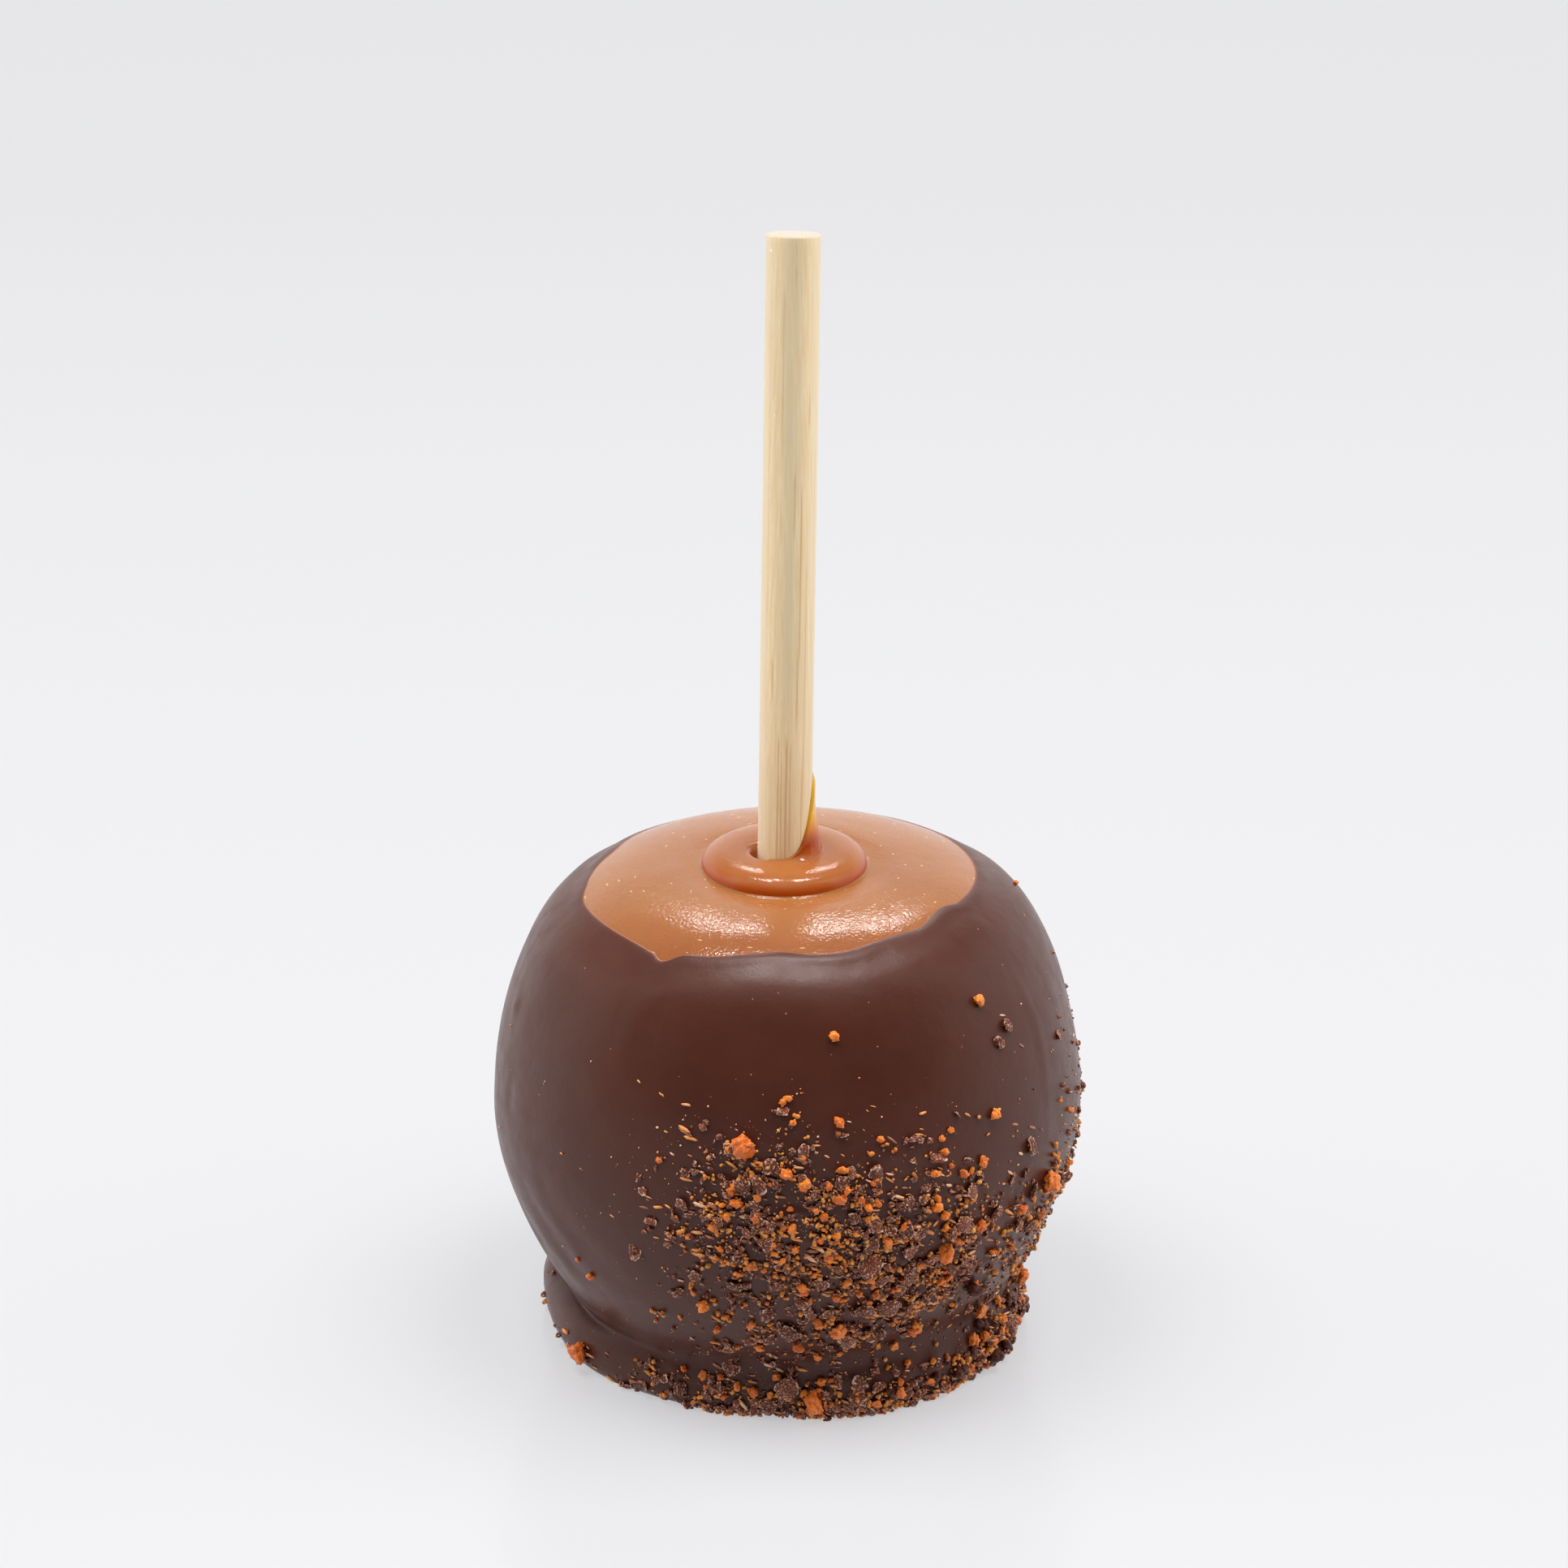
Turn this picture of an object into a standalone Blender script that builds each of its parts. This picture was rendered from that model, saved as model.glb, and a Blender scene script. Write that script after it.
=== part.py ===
"""A caramel apple on a round bamboo stick.

The apple wears a coat of caramel, then a coat of chocolate that stops at an uneven dip line near
the top. The chocolate has run down and set as a foot, which the apple stands on. A thick ring of
caramel has set round the stick, and a thin web of it climbs the stick's right side.

Metres, +Z up, front at -Y. The origin is the middle of the flat base.
"""

import math

import bmesh
import bpy
from mathutils import Matrix, Vector

MM = 0.001

# The coated apple's meridian: two quarter curves that meet at its widest ring.
WIDEST_RADIUS = 40.0 * MM
WIDEST_HEIGHT = 34.2 * MM
UPPER_RISE = 33.6 * MM
LOWER_DROP = 37.75 * MM
UPPER_SQUARENESS = 4.6
UPPER_CROWN = 1.88
LOWER_SQUARENESS = 2.72
LOWER_TAPER = 1.69
DIMPLE_DEPTH = 2.5 * MM
DIMPLE_RADIUS = 6.5 * MM
TOP_SHIFT = 0.55 * MM  # how far the top sits to the right of the base

# The chocolate's upper edge: azimuth in degrees, distance from the axis in millimetres.
DIP_LINE = (
    (-180, 26.9), (-172, 27.5), (-162, 27.3), (-150, 27.0), (-138, 27.0), (-130, 27.4),
    (-126, 28.0), (-121, 26.4), (-112, 25.7), (-103, 24.7), (-93, 24.0), (-82, 24.5),
    (-73, 24.5), (-63, 23.8), (-53, 23.5), (-44, 23.7), (-33, 22.8), (-27, 22.8),
    (-22, 23.7), (-4, 24.6), (14, 25.4), (30, 26.0), (45, 27.2), (70, 27.6),
    (100, 27.4), (125, 28.0), (140, 26.9), (155, 25.6), (168, 26.3),
)

# How the chocolate lies on the caramel.
GAP = 0.3 * MM
COAT_THICKNESS = 1.4 * MM
RIM_THICKNESS = 0.5 * MM
RIM_STEP = math.radians(1.5)
FULL_COAT_AFTER = math.radians(12)
BODY_LIFT = 6.2 * MM  # how far the caramel's lowest point lies above the meridian's own
LOWEST_FALL = math.radians(175)  # the covered surface is flat within this

# The foot that the chocolate set in.
FOOT_TOP = 14.0 * MM  # above this height the coat follows the meridian alone
FOOT_CENTRE_RADIUS = 27.7 * MM
FOOT_CENTRE_HEIGHT = 3.9 * MM
FOOT_HALF_WIDTH = 4.5 * MM
FOOT_HALF_HEIGHT = 4.9 * MM
FOOT_SQUARENESS = 2.4
FOOT_SWELL = 1.27 * MM  # the foot is a little longer one way than the other
FOOT_SWELL_AZIMUTH = math.radians(-22.5)
FOOT_LEFT_SWELL = 0.6 * MM
FOOT_LEFT_FLATNESS = 0.6  # how much faster the foot's top rounds over at the left
FOOT_WAVES = ((5, 1.0, 0.3), (9, 0.0, 0.15))  # waves round the foot, phase, height in millimetres
GROOVE_SOFTNESS = 1.2 * MM

# The round stick.
STICK_RADIUS = 3.6 * MM
STICK_LENGTH = 140.0 * MM
STICK_TOP = 156.1 * MM
STICK_ENTRY = Vector((-0.05, 0.0, 69.5)) * MM  # where its axis passes through the caramel ring
STICK_LEAN_RIGHT = math.radians(0.8)
STICK_LEAN_BACK = math.radians(2.5)
STICK_EDGE = 0.5 * MM
CUT_SLOPE = math.radians(6)  # the top end isn't cut square
CUT_DEPTH = 0.5 * MM

# The ring of caramel round the stick, and the web that climbs it.
RING_RADIUS = 11.2 * MM
RING_SHIFT_BACK = 0.7 * MM
RING_HEIGHT = 2.5 * MM
RING_SQUARENESS = 4.5
RING_CROWN = 2.5
RING_DISH_DEPTH = 0.5 * MM
RING_DISH_RADIUS = 6.0 * MM
RING_CONTACT = 70.1 * MM  # height of the caramel's edge on the stick, away from the web
WEB_HEIGHT = 11.4 * MM
WEB_AZIMUTH = math.radians(8)
WEB_SPREAD = math.radians(46)
WEB_THICKNESS = 0.3 * MM
WEB_FLARE = 1.1 * MM
WEB_FLARE_POWER = 4

# Mesh steps and shading.
SHADED_SHARP = math.radians(40)  # edges bent more than this are shaded sharp
END_EDGE_ANGLE = math.radians(60)  # the stick's end edges are bent more than this
SEGMENTS = 64
RING_SEGMENTS = 36
STICK_SEGMENTS = 32
CROWN_STEPS = 7
SHOULDER_STEPS = 7
BELLY_STEPS = 8
COAT_STEPS = 10
FOOT_STEPS = 13
RING_UNDER_STEPS = 4
RING_TOP_STEPS = 8
WEB_STEPS = 4


def smooth_step(x):
    x = min(max(x, 0.0), 1.0)
    return x * x * (3 - 2 * x)


def smooth_max(a, b, softness):
    """The larger of two lengths, with the corner between them rounded off."""
    overlap = max(softness - abs(a - b), 0.0) / softness
    return max(a, b) + overlap * overlap * softness / 4


def azimuths(count):
    return [2 * math.pi * i / count - math.pi for i in range(count)]


def dip_radius(azimuth):
    """The dip line's distance from the axis, by a Catmull-Rom curve through its points."""
    degrees = (math.degrees(azimuth) + 180) % 360 - 180
    count = len(DIP_LINE)
    starts = [point[0] for point in DIP_LINE] + [180]
    i = max(k for k in range(count) if starts[k] <= degrees)
    before, here, after, beyond = (DIP_LINE[(i + k) % count][1] for k in (-1, 0, 1, 2))
    t = (degrees - starts[i]) / (starts[i + 1] - starts[i])
    slope_here = (after - before) / 2
    slope_after = (beyond - here) / 2
    radius = (
        here * (2 * t**3 - 3 * t**2 + 1)
        + slope_here * (t**3 - 2 * t**2 + t)
        + after * (3 * t**2 - 2 * t**3)
        + slope_after * (t**3 - t**2)
    )
    return radius * MM


def dip_fall(azimuth):
    return math.asin(dip_radius(azimuth) / WIDEST_RADIUS)


def dimple(radius):
    return DIMPLE_DEPTH * math.exp(-((radius / DIMPLE_RADIUS) ** 2))


def meridian(fall, inset=0.0, lift=0.0):
    """Radius and height at an angle of fall: 0 at the top's middle, a quarter turn at the widest
    ring and a half turn below. Inset draws the curve in, and lift raises its lowest point."""
    if fall <= math.pi / 2:
        radius = (WIDEST_RADIUS - inset) * math.sin(fall)
        crown = max(1 - math.sin(fall) ** UPPER_SQUARENESS, 0.0) ** (1 / UPPER_CROWN)
        return radius, WIDEST_HEIGHT + (UPPER_RISE - inset) * crown - dimple(radius)
    drop = -math.cos(fall)
    radius = (WIDEST_RADIUS - inset) * max(1 - drop**LOWER_TAPER, 0.0) ** (1 / LOWER_SQUARENESS)
    return radius, WIDEST_HEIGHT - (LOWER_DROP - lift) * drop


def lower_radius(height):
    """The meridian's radius at a height below the widest ring."""
    drop = (WIDEST_HEIGHT - height) / LOWER_DROP
    return WIDEST_RADIUS * (1 - drop**LOWER_TAPER) ** (1 / LOWER_SQUARENESS)


def placed(radius, height, azimuth):
    """The point at a radius, height and azimuth, on an axis that leans a little to the right."""
    shift = TOP_SHIFT * height / (WIDEST_HEIGHT + UPPER_RISE)
    return Vector((shift + radius * math.cos(azimuth), radius * math.sin(azimuth), height))


def caramel_inset(fall, azimuth):
    """How far the caramel lies under the outer surface: none above the dip line."""
    below = fall - dip_fall(azimuth)
    rim = (RIM_THICKNESS + GAP) * smooth_step((below + RIM_STEP) / RIM_STEP)
    rest = COAT_THICKNESS - RIM_THICKNESS
    return rim + rest * smooth_step(below / FULL_COAT_AFTER)


def foot_radius(height, azimuth):
    """The foot's rounded side: not quite round, and slightly wavy."""
    rise = abs(height - FOOT_CENTRE_HEIGHT) / FOOT_HALF_HEIGHT
    if height > FOOT_CENTRE_HEIGHT:
        rise *= 1 + FOOT_LEFT_FLATNESS * (0.5 - 0.5 * math.cos(azimuth)) ** 2
    if rise >= 1:
        return FOOT_CENTRE_RADIUS
    swell = FOOT_SWELL * math.cos(2 * (azimuth - FOOT_SWELL_AZIMUTH))
    swell -= FOOT_LEFT_SWELL * math.cos(azimuth)
    wave = sum(high * math.sin(count * azimuth + phase) for count, phase, high in FOOT_WAVES) * MM
    reach = FOOT_HALF_WIDTH * (1 - rise**FOOT_SQUARENESS) ** (1 / FOOT_SQUARENESS)
    return FOOT_CENTRE_RADIUS + reach + swell + wave


def skin(name, rings, wraps=False):
    """A closed mesh object over rings of points. Unless the last ring joins the first again,
    each end is closed by a fan to the middle of its ring."""
    bm = bmesh.new()
    rows = [[bm.verts.new(point) for point in ring] for ring in rings]
    pairs = list(zip(rows, rows[1:]))
    if wraps:
        pairs.append((rows[-1], rows[0]))
    for upper, lower in pairs:
        for i in range(len(upper)):
            j = (i + 1) % len(upper)
            bm.faces.new((upper[i], lower[i], lower[j], upper[j]))
    if not wraps:
        for row in (rows[0], rows[-1]):
            middle = bm.verts.new(sum((v.co for v in row), Vector()) / len(row))
            for i in range(len(row)):
                bm.faces.new((row[i - 1], row[i], middle))
    bmesh.ops.recalc_face_normals(bm, faces=bm.faces)
    mesh = bpy.data.meshes.new(name)
    bm.to_mesh(mesh)
    bm.free()
    return add_object(name, mesh)


def add_object(name, mesh):
    mesh.shade_smooth()
    mesh.set_sharp_from_angle(angle=SHADED_SHARP)
    obj = bpy.data.objects.new(name, mesh)
    bpy.context.scene.collection.objects.link(obj)
    return obj


def give_material(obj, name, color, roughness):
    material = bpy.data.materials.new(name)
    material.use_nodes = True
    shader = material.node_tree.nodes["Principled BSDF"]
    shader.inputs["Base Color"].default_value = (*color, 1)
    shader.inputs["Roughness"].default_value = roughness
    shader.inputs["Metallic"].default_value = 0
    obj.data.materials.append(material)


def stick_pose():
    """The matrix that puts the stick's axis on Z, with its entry point at the origin."""
    lean = Matrix.Rotation(STICK_LEAN_RIGHT, 4, "Y") @ Matrix.Rotation(-STICK_LEAN_BACK, 4, "X")
    return Matrix.Translation(STICK_ENTRY) @ lean


def cylinder_mesh(name, radius, bottom, top):
    """A closed cylinder on the stick's axis, between two distances along it from the entry."""
    bm = bmesh.new()
    middle = Matrix.Translation((0, 0, (bottom + top) / 2))
    bmesh.ops.create_cone(
        bm,
        cap_ends=True,
        segments=STICK_SEGMENTS,
        radius1=radius,
        radius2=radius,
        depth=top - bottom,
        matrix=middle,
    )
    mesh = bpy.data.meshes.new(name)
    bm.to_mesh(mesh)
    bm.free()
    return mesh


def make_stick():
    """The stick, with a sloping top cut and worn edges."""
    top = STICK_TOP - STICK_ENTRY.z
    mesh = cylinder_mesh("stick", STICK_RADIUS, top - STICK_LENGTH, top)
    bm = bmesh.new()
    bm.from_mesh(mesh)
    bmesh.ops.bisect_plane(
        bm,
        geom=bm.verts[:] + bm.edges[:] + bm.faces[:],
        plane_co=(0, 0, top - CUT_DEPTH),
        plane_no=(0, math.sin(CUT_SLOPE), math.cos(CUT_SLOPE)),
        clear_outer=True,
    )
    bmesh.ops.holes_fill(bm, edges=[e for e in bm.edges if e.is_boundary], sides=0)
    end_edges = [e for e in bm.edges if e.calc_face_angle() > END_EDGE_ANGLE]
    bmesh.ops.bevel(
        bm, geom=end_edges, offset=STICK_EDGE, segments=2, profile=0.5, affect="EDGES"
    )
    bmesh.ops.transform(bm, matrix=stick_pose(), verts=bm.verts)
    bm.to_mesh(mesh)
    bm.free()
    stick = add_object("stick", mesh)
    give_material(stick, "bamboo", (0.66, 0.49, 0.29), 0.6)


def bore(obj):
    """Cuts the stick's hole out of a piece that it passes into."""
    top = STICK_TOP - STICK_ENTRY.z
    bottom = top - STICK_LENGTH - GAP
    mesh = cylinder_mesh(obj.name + "_bore", STICK_RADIUS + GAP, bottom, top)
    mesh.transform(stick_pose())
    cutter = bpy.data.objects.new(mesh.name, mesh)
    bpy.context.scene.collection.objects.link(cutter)
    cutter.hide_render = True
    cutter.display_type = "WIRE"
    cut = obj.modifiers.new("bore", "BOOLEAN")
    cut.operation = "DIFFERENCE"
    cut.solver = "EXACT"
    cut.object = cutter


def covered_rings(gap):
    """Rings down the surface that the chocolate covers, drawn outward by a gap."""
    falls = [math.pi / 2 * (1 + step / BELLY_STEPS) for step in range(1, BELLY_STEPS)]
    rings = []
    for step in range(SHOULDER_STEPS + 1 + BELLY_STEPS):
        ring = []
        for azimuth in azimuths(SEGMENTS):
            dip = dip_fall(azimuth)
            if step <= SHOULDER_STEPS:
                fall = dip + (math.pi / 2 - dip) * step / SHOULDER_STEPS
            else:
                fall = (falls + [LOWEST_FALL])[step - SHOULDER_STEPS - 1]
            inset = caramel_inset(fall, azimuth) - gap
            radius, height = meridian(fall, inset, BODY_LIFT - gap)
            ring.append(placed(radius, height, azimuth))
        rings.append(ring)
    return rings


def make_caramel_body():
    """The apple in its caramel: bare round the stick, drawn in where the chocolate covers it."""
    bare = []
    for step in range(1, CROWN_STEPS + 1):
        ring = []
        for azimuth in azimuths(SEGMENTS):
            fall = (dip_fall(azimuth) - RIM_STEP) * step / CROWN_STEPS
            ring.append(placed(*meridian(fall), azimuth))
        bare.append(ring)
    body = skin("caramel_body", bare + covered_rings(0.0))
    give_material(body, "caramel", (0.52, 0.19, 0.05), 0.3)
    bore(body)


def coat_heights():
    """Heights from the top of the foot's stretch down to the base, closest round the groove."""
    steps = range(1, FOOT_STEPS + 1)
    return [FOOT_TOP * 0.5 * (1 + math.cos(math.pi * step / FOOT_STEPS)) for step in steps]


def make_chocolate_coat():
    """The chocolate: an outer surface with a foot, and an inner one that clears the caramel."""
    foot_fall = math.acos(-(WIDEST_HEIGHT - FOOT_TOP) / LOWER_DROP)
    rings = covered_rings(GAP)[::-1]
    for step in range(COAT_STEPS + 1):
        ring = []
        for azimuth in azimuths(SEGMENTS):
            dip = dip_fall(azimuth)
            radius, height = meridian(dip + (foot_fall - dip) * step / COAT_STEPS)
            ring.append(placed(radius, height, azimuth))
        rings.append(ring)
    for height in coat_heights():
        ring = []
        for azimuth in azimuths(SEGMENTS):
            side = foot_radius(height, azimuth)
            radius = smooth_max(lower_radius(height), side, GROOVE_SOFTNESS)
            ring.append(placed(radius, height, azimuth))
        rings.append(ring)
    coat = skin("chocolate_coat", rings)
    give_material(coat, "chocolate", (0.075, 0.028, 0.020), 0.32)


def ring_section(azimuth):
    """The caramel ring's section at an azimuth, as radii and heights: along its underside, over
    its rounded top, up the web and down the hole for the stick."""
    hole = STICK_RADIUS + GAP
    flare = hole + WEB_THICKNESS + WEB_FLARE
    outline = RING_RADIUS + RING_SHIFT_BACK * math.sin(azimuth)
    base_height = meridian(math.asin(outline / WIDEST_RADIUS))[1] + GAP
    offset = abs((azimuth - WEB_AZIMUTH + math.pi) % (2 * math.pi) - math.pi)
    edge_height = RING_CONTACT + WEB_HEIGHT * math.exp(-((offset / WEB_SPREAD) ** 2))
    section = []
    for step in range(RING_UNDER_STEPS + 1):
        radius = hole + (outline - hole) * step / RING_UNDER_STEPS
        section.append((radius, meridian(math.asin(radius / WIDEST_RADIUS))[1] + GAP))
    for step in range(1, RING_TOP_STEPS + 1):
        across = math.cos(math.pi / 2 * step / RING_TOP_STEPS)
        radius = flare + (outline - flare) * across
        crown = (1 - (radius / outline) ** RING_SQUARENESS) ** (1 / RING_CROWN)
        dish = RING_DISH_DEPTH * math.exp(-((radius / RING_DISH_RADIUS) ** 2))
        section.append((radius, base_height + RING_HEIGHT * crown - dish))
    foot_height = section[-1][1]
    for step in range(1, WEB_STEPS + 1):
        left = 1 - step / WEB_STEPS
        radius = hole + WEB_THICKNESS + WEB_FLARE * left**WEB_FLARE_POWER
        section.append((radius, edge_height + (foot_height - edge_height) * left))
    section.append((hole, edge_height))
    return section


def make_caramel_ring():
    """The ring of caramel on top, with its web. Its hole follows the leaning stick."""
    direction = stick_pose().to_3x3() @ Vector((0, 0, 1))
    columns = []
    for azimuth in azimuths(RING_SEGMENTS):
        column = []
        for radius, height in ring_section(azimuth):
            rise = height - STICK_ENTRY.z
            drift = STICK_ENTRY + direction * (rise / direction.z)
            around = Vector((math.cos(azimuth), math.sin(azimuth), 0)) * radius
            column.append(drift + around)
        columns.append(column)
    rings = [list(ring) for ring in zip(*columns)]
    ring = skin("caramel_ring", rings, wraps=True)
    give_material(ring, "caramel_ring", (0.50, 0.15, 0.03), 0.15)


def main():
    for obj in list(bpy.data.objects):
        bpy.data.objects.remove(obj, do_unlink=True)
    make_caramel_body()
    make_chocolate_coat()
    make_caramel_ring()
    make_stick()


main()
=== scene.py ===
"""The looks of one caramel apple: soft caramel, a dip of milk chocolate, toffee and chocolate
crumbs, and a round bamboo stick with caramel set round it.

Each shape repeats its solid's own formulas with the detail that a solid leaves out. Metres, +Z up.
"""

import math

import bmesh
import bpy
import numpy as np
from mathutils import Matrix, Vector
from mathutils.bvhtree import BVHTree


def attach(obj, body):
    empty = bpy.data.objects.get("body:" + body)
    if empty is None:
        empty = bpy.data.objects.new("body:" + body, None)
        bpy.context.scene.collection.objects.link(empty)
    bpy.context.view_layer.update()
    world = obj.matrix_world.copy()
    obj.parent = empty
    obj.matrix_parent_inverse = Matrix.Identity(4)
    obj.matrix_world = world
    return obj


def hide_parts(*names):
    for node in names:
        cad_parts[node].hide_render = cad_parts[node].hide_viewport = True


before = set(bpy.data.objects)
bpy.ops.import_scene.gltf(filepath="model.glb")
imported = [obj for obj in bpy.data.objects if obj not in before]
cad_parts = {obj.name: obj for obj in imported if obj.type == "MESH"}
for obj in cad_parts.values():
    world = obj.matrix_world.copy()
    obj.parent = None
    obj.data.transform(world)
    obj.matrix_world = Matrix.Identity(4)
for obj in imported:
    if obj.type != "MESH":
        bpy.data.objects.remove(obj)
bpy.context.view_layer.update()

MM = 0.001

# The camera, and the photograph's pixels.
PHOTO_SIZE = 1932
CAMERA_ELEVATION = math.radians(23)
CAMERA_DISTANCE = 820 * MM
CAMERA_AIM = Vector((-0.1, 0.0, 79.6)) * MM
PIXELS_PER_MM = 9.2  # at the aim point
SENSOR_WIDTH = 36.0

# The coated apple's meridian, as in the solids.
WIDEST_RADIUS = 40.0 * MM
WIDEST_HEIGHT = 34.2 * MM
UPPER_RISE = 33.6 * MM
LOWER_DROP = 37.75 * MM
UPPER_SQUARENESS = 4.6
UPPER_CROWN = 1.88
LOWER_SQUARENESS = 2.72
LOWER_TAPER = 1.69
DIMPLE_DEPTH = 2.5 * MM
DIMPLE_RADIUS = 6.5 * MM
TOP_SHIFT = 0.55 * MM

# The chocolate's upper edge: azimuth in degrees, distance from the axis in millimetres.
DIP_LINE = (
    (-180, 26.9), (-172, 27.5), (-162, 27.3), (-150, 27.0), (-138, 27.0), (-130, 27.4),
    (-126, 28.0), (-121, 26.4), (-112, 25.7), (-103, 24.7), (-93, 24.0), (-82, 24.5),
    (-73, 24.5), (-63, 23.8), (-53, 23.5), (-44, 23.7), (-33, 22.8), (-27, 22.8),
    (-22, 23.7), (-4, 24.6), (14, 25.4), (30, 26.0), (45, 27.2), (70, 27.6),
    (100, 27.4), (125, 28.0), (140, 26.9), (155, 25.6), (168, 26.3),
)

# The chocolate coat.
COAT_COLUMNS = 360
COAT_THICKNESS = 1.7 * MM
RIM_SINK = 0.20 * MM  # the edge starts this far under the caramel's surface
RIM_RISE = 0.38 * MM
RIM_ROUNDING = 0.35 * MM
ROLL_HEIGHT = 0.05 * MM  # the soft roll that follows the edge
ROLL_DISTANCE = 1.5 * MM
ROLL_WIDTH = 1.0 * MM
SHOULDER_RISE = 0.30 * MM  # the thicker chocolate behind the roll
SHOULDER_START = 2.3 * MM
SHOULDER_LENGTH = 4.2 * MM
SHOULDER_FADE = 9 * MM
THIN_EDGE = 0.3 * MM  # the width of the edge that light comes through
LIP_ROWS = 32
LIP_LENGTH = 7 * MM
SIDE_ROWS = 156
FINE_SIDE_ROWS = 500  # in the outline that the rows are measured along
FINE_FOOT_ROWS = 240
WAVES = ((17, 0.07, 4), (6, 0.008, 5))  # wavelength, height in millimetres, and seed
COAT_MARKS = (  # azimuth, height, width, tallness, how far out, and lean in degrees for each mm up
    (-167, 50.8, 2.2, 1.3, 0.35, 0),  # a blister
    (-160, 40.5, 1.6, 2.2, -0.15, 0),  # a crease
    (-158, 8.6, 22, 0.9, 0.30, 0),  # a ridge along the foot
    (-26.8, 50, 1.4, 9, 0.12, 0.1),  # a ridge at the right
)
SAG_HEIGHT = 0.12 * MM  # slanting ripples at the left
SAG_SLANT = 1.6
SAG_PITCH = 2.4
SAG_PLACE = (-145, 22, 14, 7)  # azimuth, height, and how far they go each way
COAT_END = math.radians(172)  # how far round the hidden inside of the coat goes
COAT_INSIDE_HEIGHT = 2.2 * MM

# The foot that the chocolate set in.
FOOT_TOP = 14.0 * MM
FOOT_CENTRE_RADIUS = 27.7 * MM
FOOT_CENTRE_HEIGHT = 3.9 * MM
FOOT_HALF_WIDTH = 4.5 * MM
FOOT_HALF_HEIGHT = 4.9 * MM
FOOT_SQUARENESS = 2.4
FOOT_SWELL = 1.27 * MM
FOOT_SWELL_AZIMUTH = math.radians(-22.5)
FOOT_LEFT_SWELL = 0.6 * MM
FOOT_LEFT_FLATNESS = 0.6  # how much faster the foot's top rounds over at the left
FOOT_WAVES = ((5, 1.0, 0.3), (9, 0.0, 0.15))
GROOVE_SOFTNESS = 1.2 * MM
FILLET_SIZE = 2.4 * MM  # how widely the groove is softened in front
FILLET_END = 4.0 * MM  # how far from the stretch's two ends the softening fades in
FILLET_AZIMUTH = math.radians(-62)
FILLET_SPREAD = math.radians(90)

# The caramel under the chocolate's edge and round the stick.
CARAMEL_COLUMNS = 280
CARAMEL_ROWS = 88
CARAMEL_BEYOND_DIP = math.radians(1.2)
CARAMEL_END = math.radians(174)
CARAMEL_BASE_HEIGHT = 3 * MM
CARAMEL_CLEARANCE = 0.5 * MM  # between the hidden caramel and the coat
BORE_DEPTH = 6 * MM
MOAT_DEPTH = 0.12 * MM
MOAT_RADIUS = 12.5 * MM
MOAT_WIDTH = 1.5 * MM

# The stick.
STICK_RADIUS = 3.6 * MM
STICK_LENGTH = 140.0 * MM
STICK_TOP = 156.1 * MM
STICK_ENTRY = Vector((-0.05, 0.0, 69.5)) * MM
STICK_LEAN_RIGHT = math.radians(0.8)
STICK_LEAN_BACK = math.radians(2.5)
STICK_EDGE = 0.25 * MM
CUT_SLOPE = math.radians(8)
CUT_DEPTH = 0.5 * MM
CUT_REACH = 8 * MM  # how far down the rows slant with the cut
STICK_COLUMNS = 180
STICK_ROWS = 150
WORN_ROWS = 6  # over each rounded end
END_RINGS = (0.3, 0.6, 0.88)  # on each end face, in shares of its radius
STICK_MARKS = (  # along the grain: photograph x, top y, bottom y, width in millimetres, strength
    (979, 589, 660, 0.10, 0.55), (986, 611, 808, 0.10, 0.6), (997, 500, 534, 0.10, 0.55),
    (982, 803, 880, 0.10, 0.5), (952, 814, 852, 0.10, 0.45), (958, 900, 1055, 0.09, 0.6),
    (962, 930, 1055, 0.09, 0.55), (968, 905, 1055, 0.10, 0.7), (973, 915, 1040, 0.09, 0.6),
    (987, 940, 1055, 0.10, 0.55), (981, 300, 316, 0.12, 0.5), (981, 326, 340, 0.12, 0.5),
    (981, 352, 368, 0.12, 0.45), (965, 380, 560, 0.10, 0.3), (1001, 560, 900, 0.10, 0.3),
    (948, 420, 760, 0.10, 0.25), (991, 700, 1000, 0.09, 0.35),
)
MARK_FADE = 3 * MM
WEATHERED_PLACE = 0.0  # the greyish band's place and width, in radii across the stick
WEATHERED_WIDTH = 0.45
WEATHERED_FOOT = 88 * MM

# The ring of caramel round the stick.
RING_SINK = 0.3 * MM
RING_RIM_RISE = 0.6 * MM
RING_BITE = 0.05 * MM  # how far the ring goes into the stick
RING_RADIUS = 11.2 * MM
RING_SHIFT_BACK = 0.7 * MM
RING_HEIGHT = 2.5 * MM
RING_SQUARENESS = 4.5
RING_CROWN = 2.5
RING_DISH_DEPTH = 0.5 * MM
RING_DISH_RADIUS = 6.0 * MM
RING_CONTACT = 70.1 * MM
RING_COLUMNS = 240
WEB_HEIGHT = 11.4 * MM
WEB_AZIMUTH = math.radians(8)
WEB_SPREAD = math.radians(46)
WEB_THICKNESS = 0.45 * MM
WEB_FLARE = 1.2 * MM
WEB_FLARE_POWER = 3
WEB_START = 71.8 * MM  # the web turns golden from here up
WEB_GOLDEN = 4.0 * MM
SKIRT_WIDTH = 0.7 * MM  # the film that the ring drew out over the caramel round it
SKIRT_HEIGHT = 0.28 * MM
SKIRT_SINK = 0.1 * MM
WELL_AZIMUTH = math.radians(195)
WELL_SPREAD = math.radians(38)
WELL_DEPTH = 2.4 * MM
WELL_WIDTH = 0.75 * MM

LOWEST_CRUMB = 0.02 * MM

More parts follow.
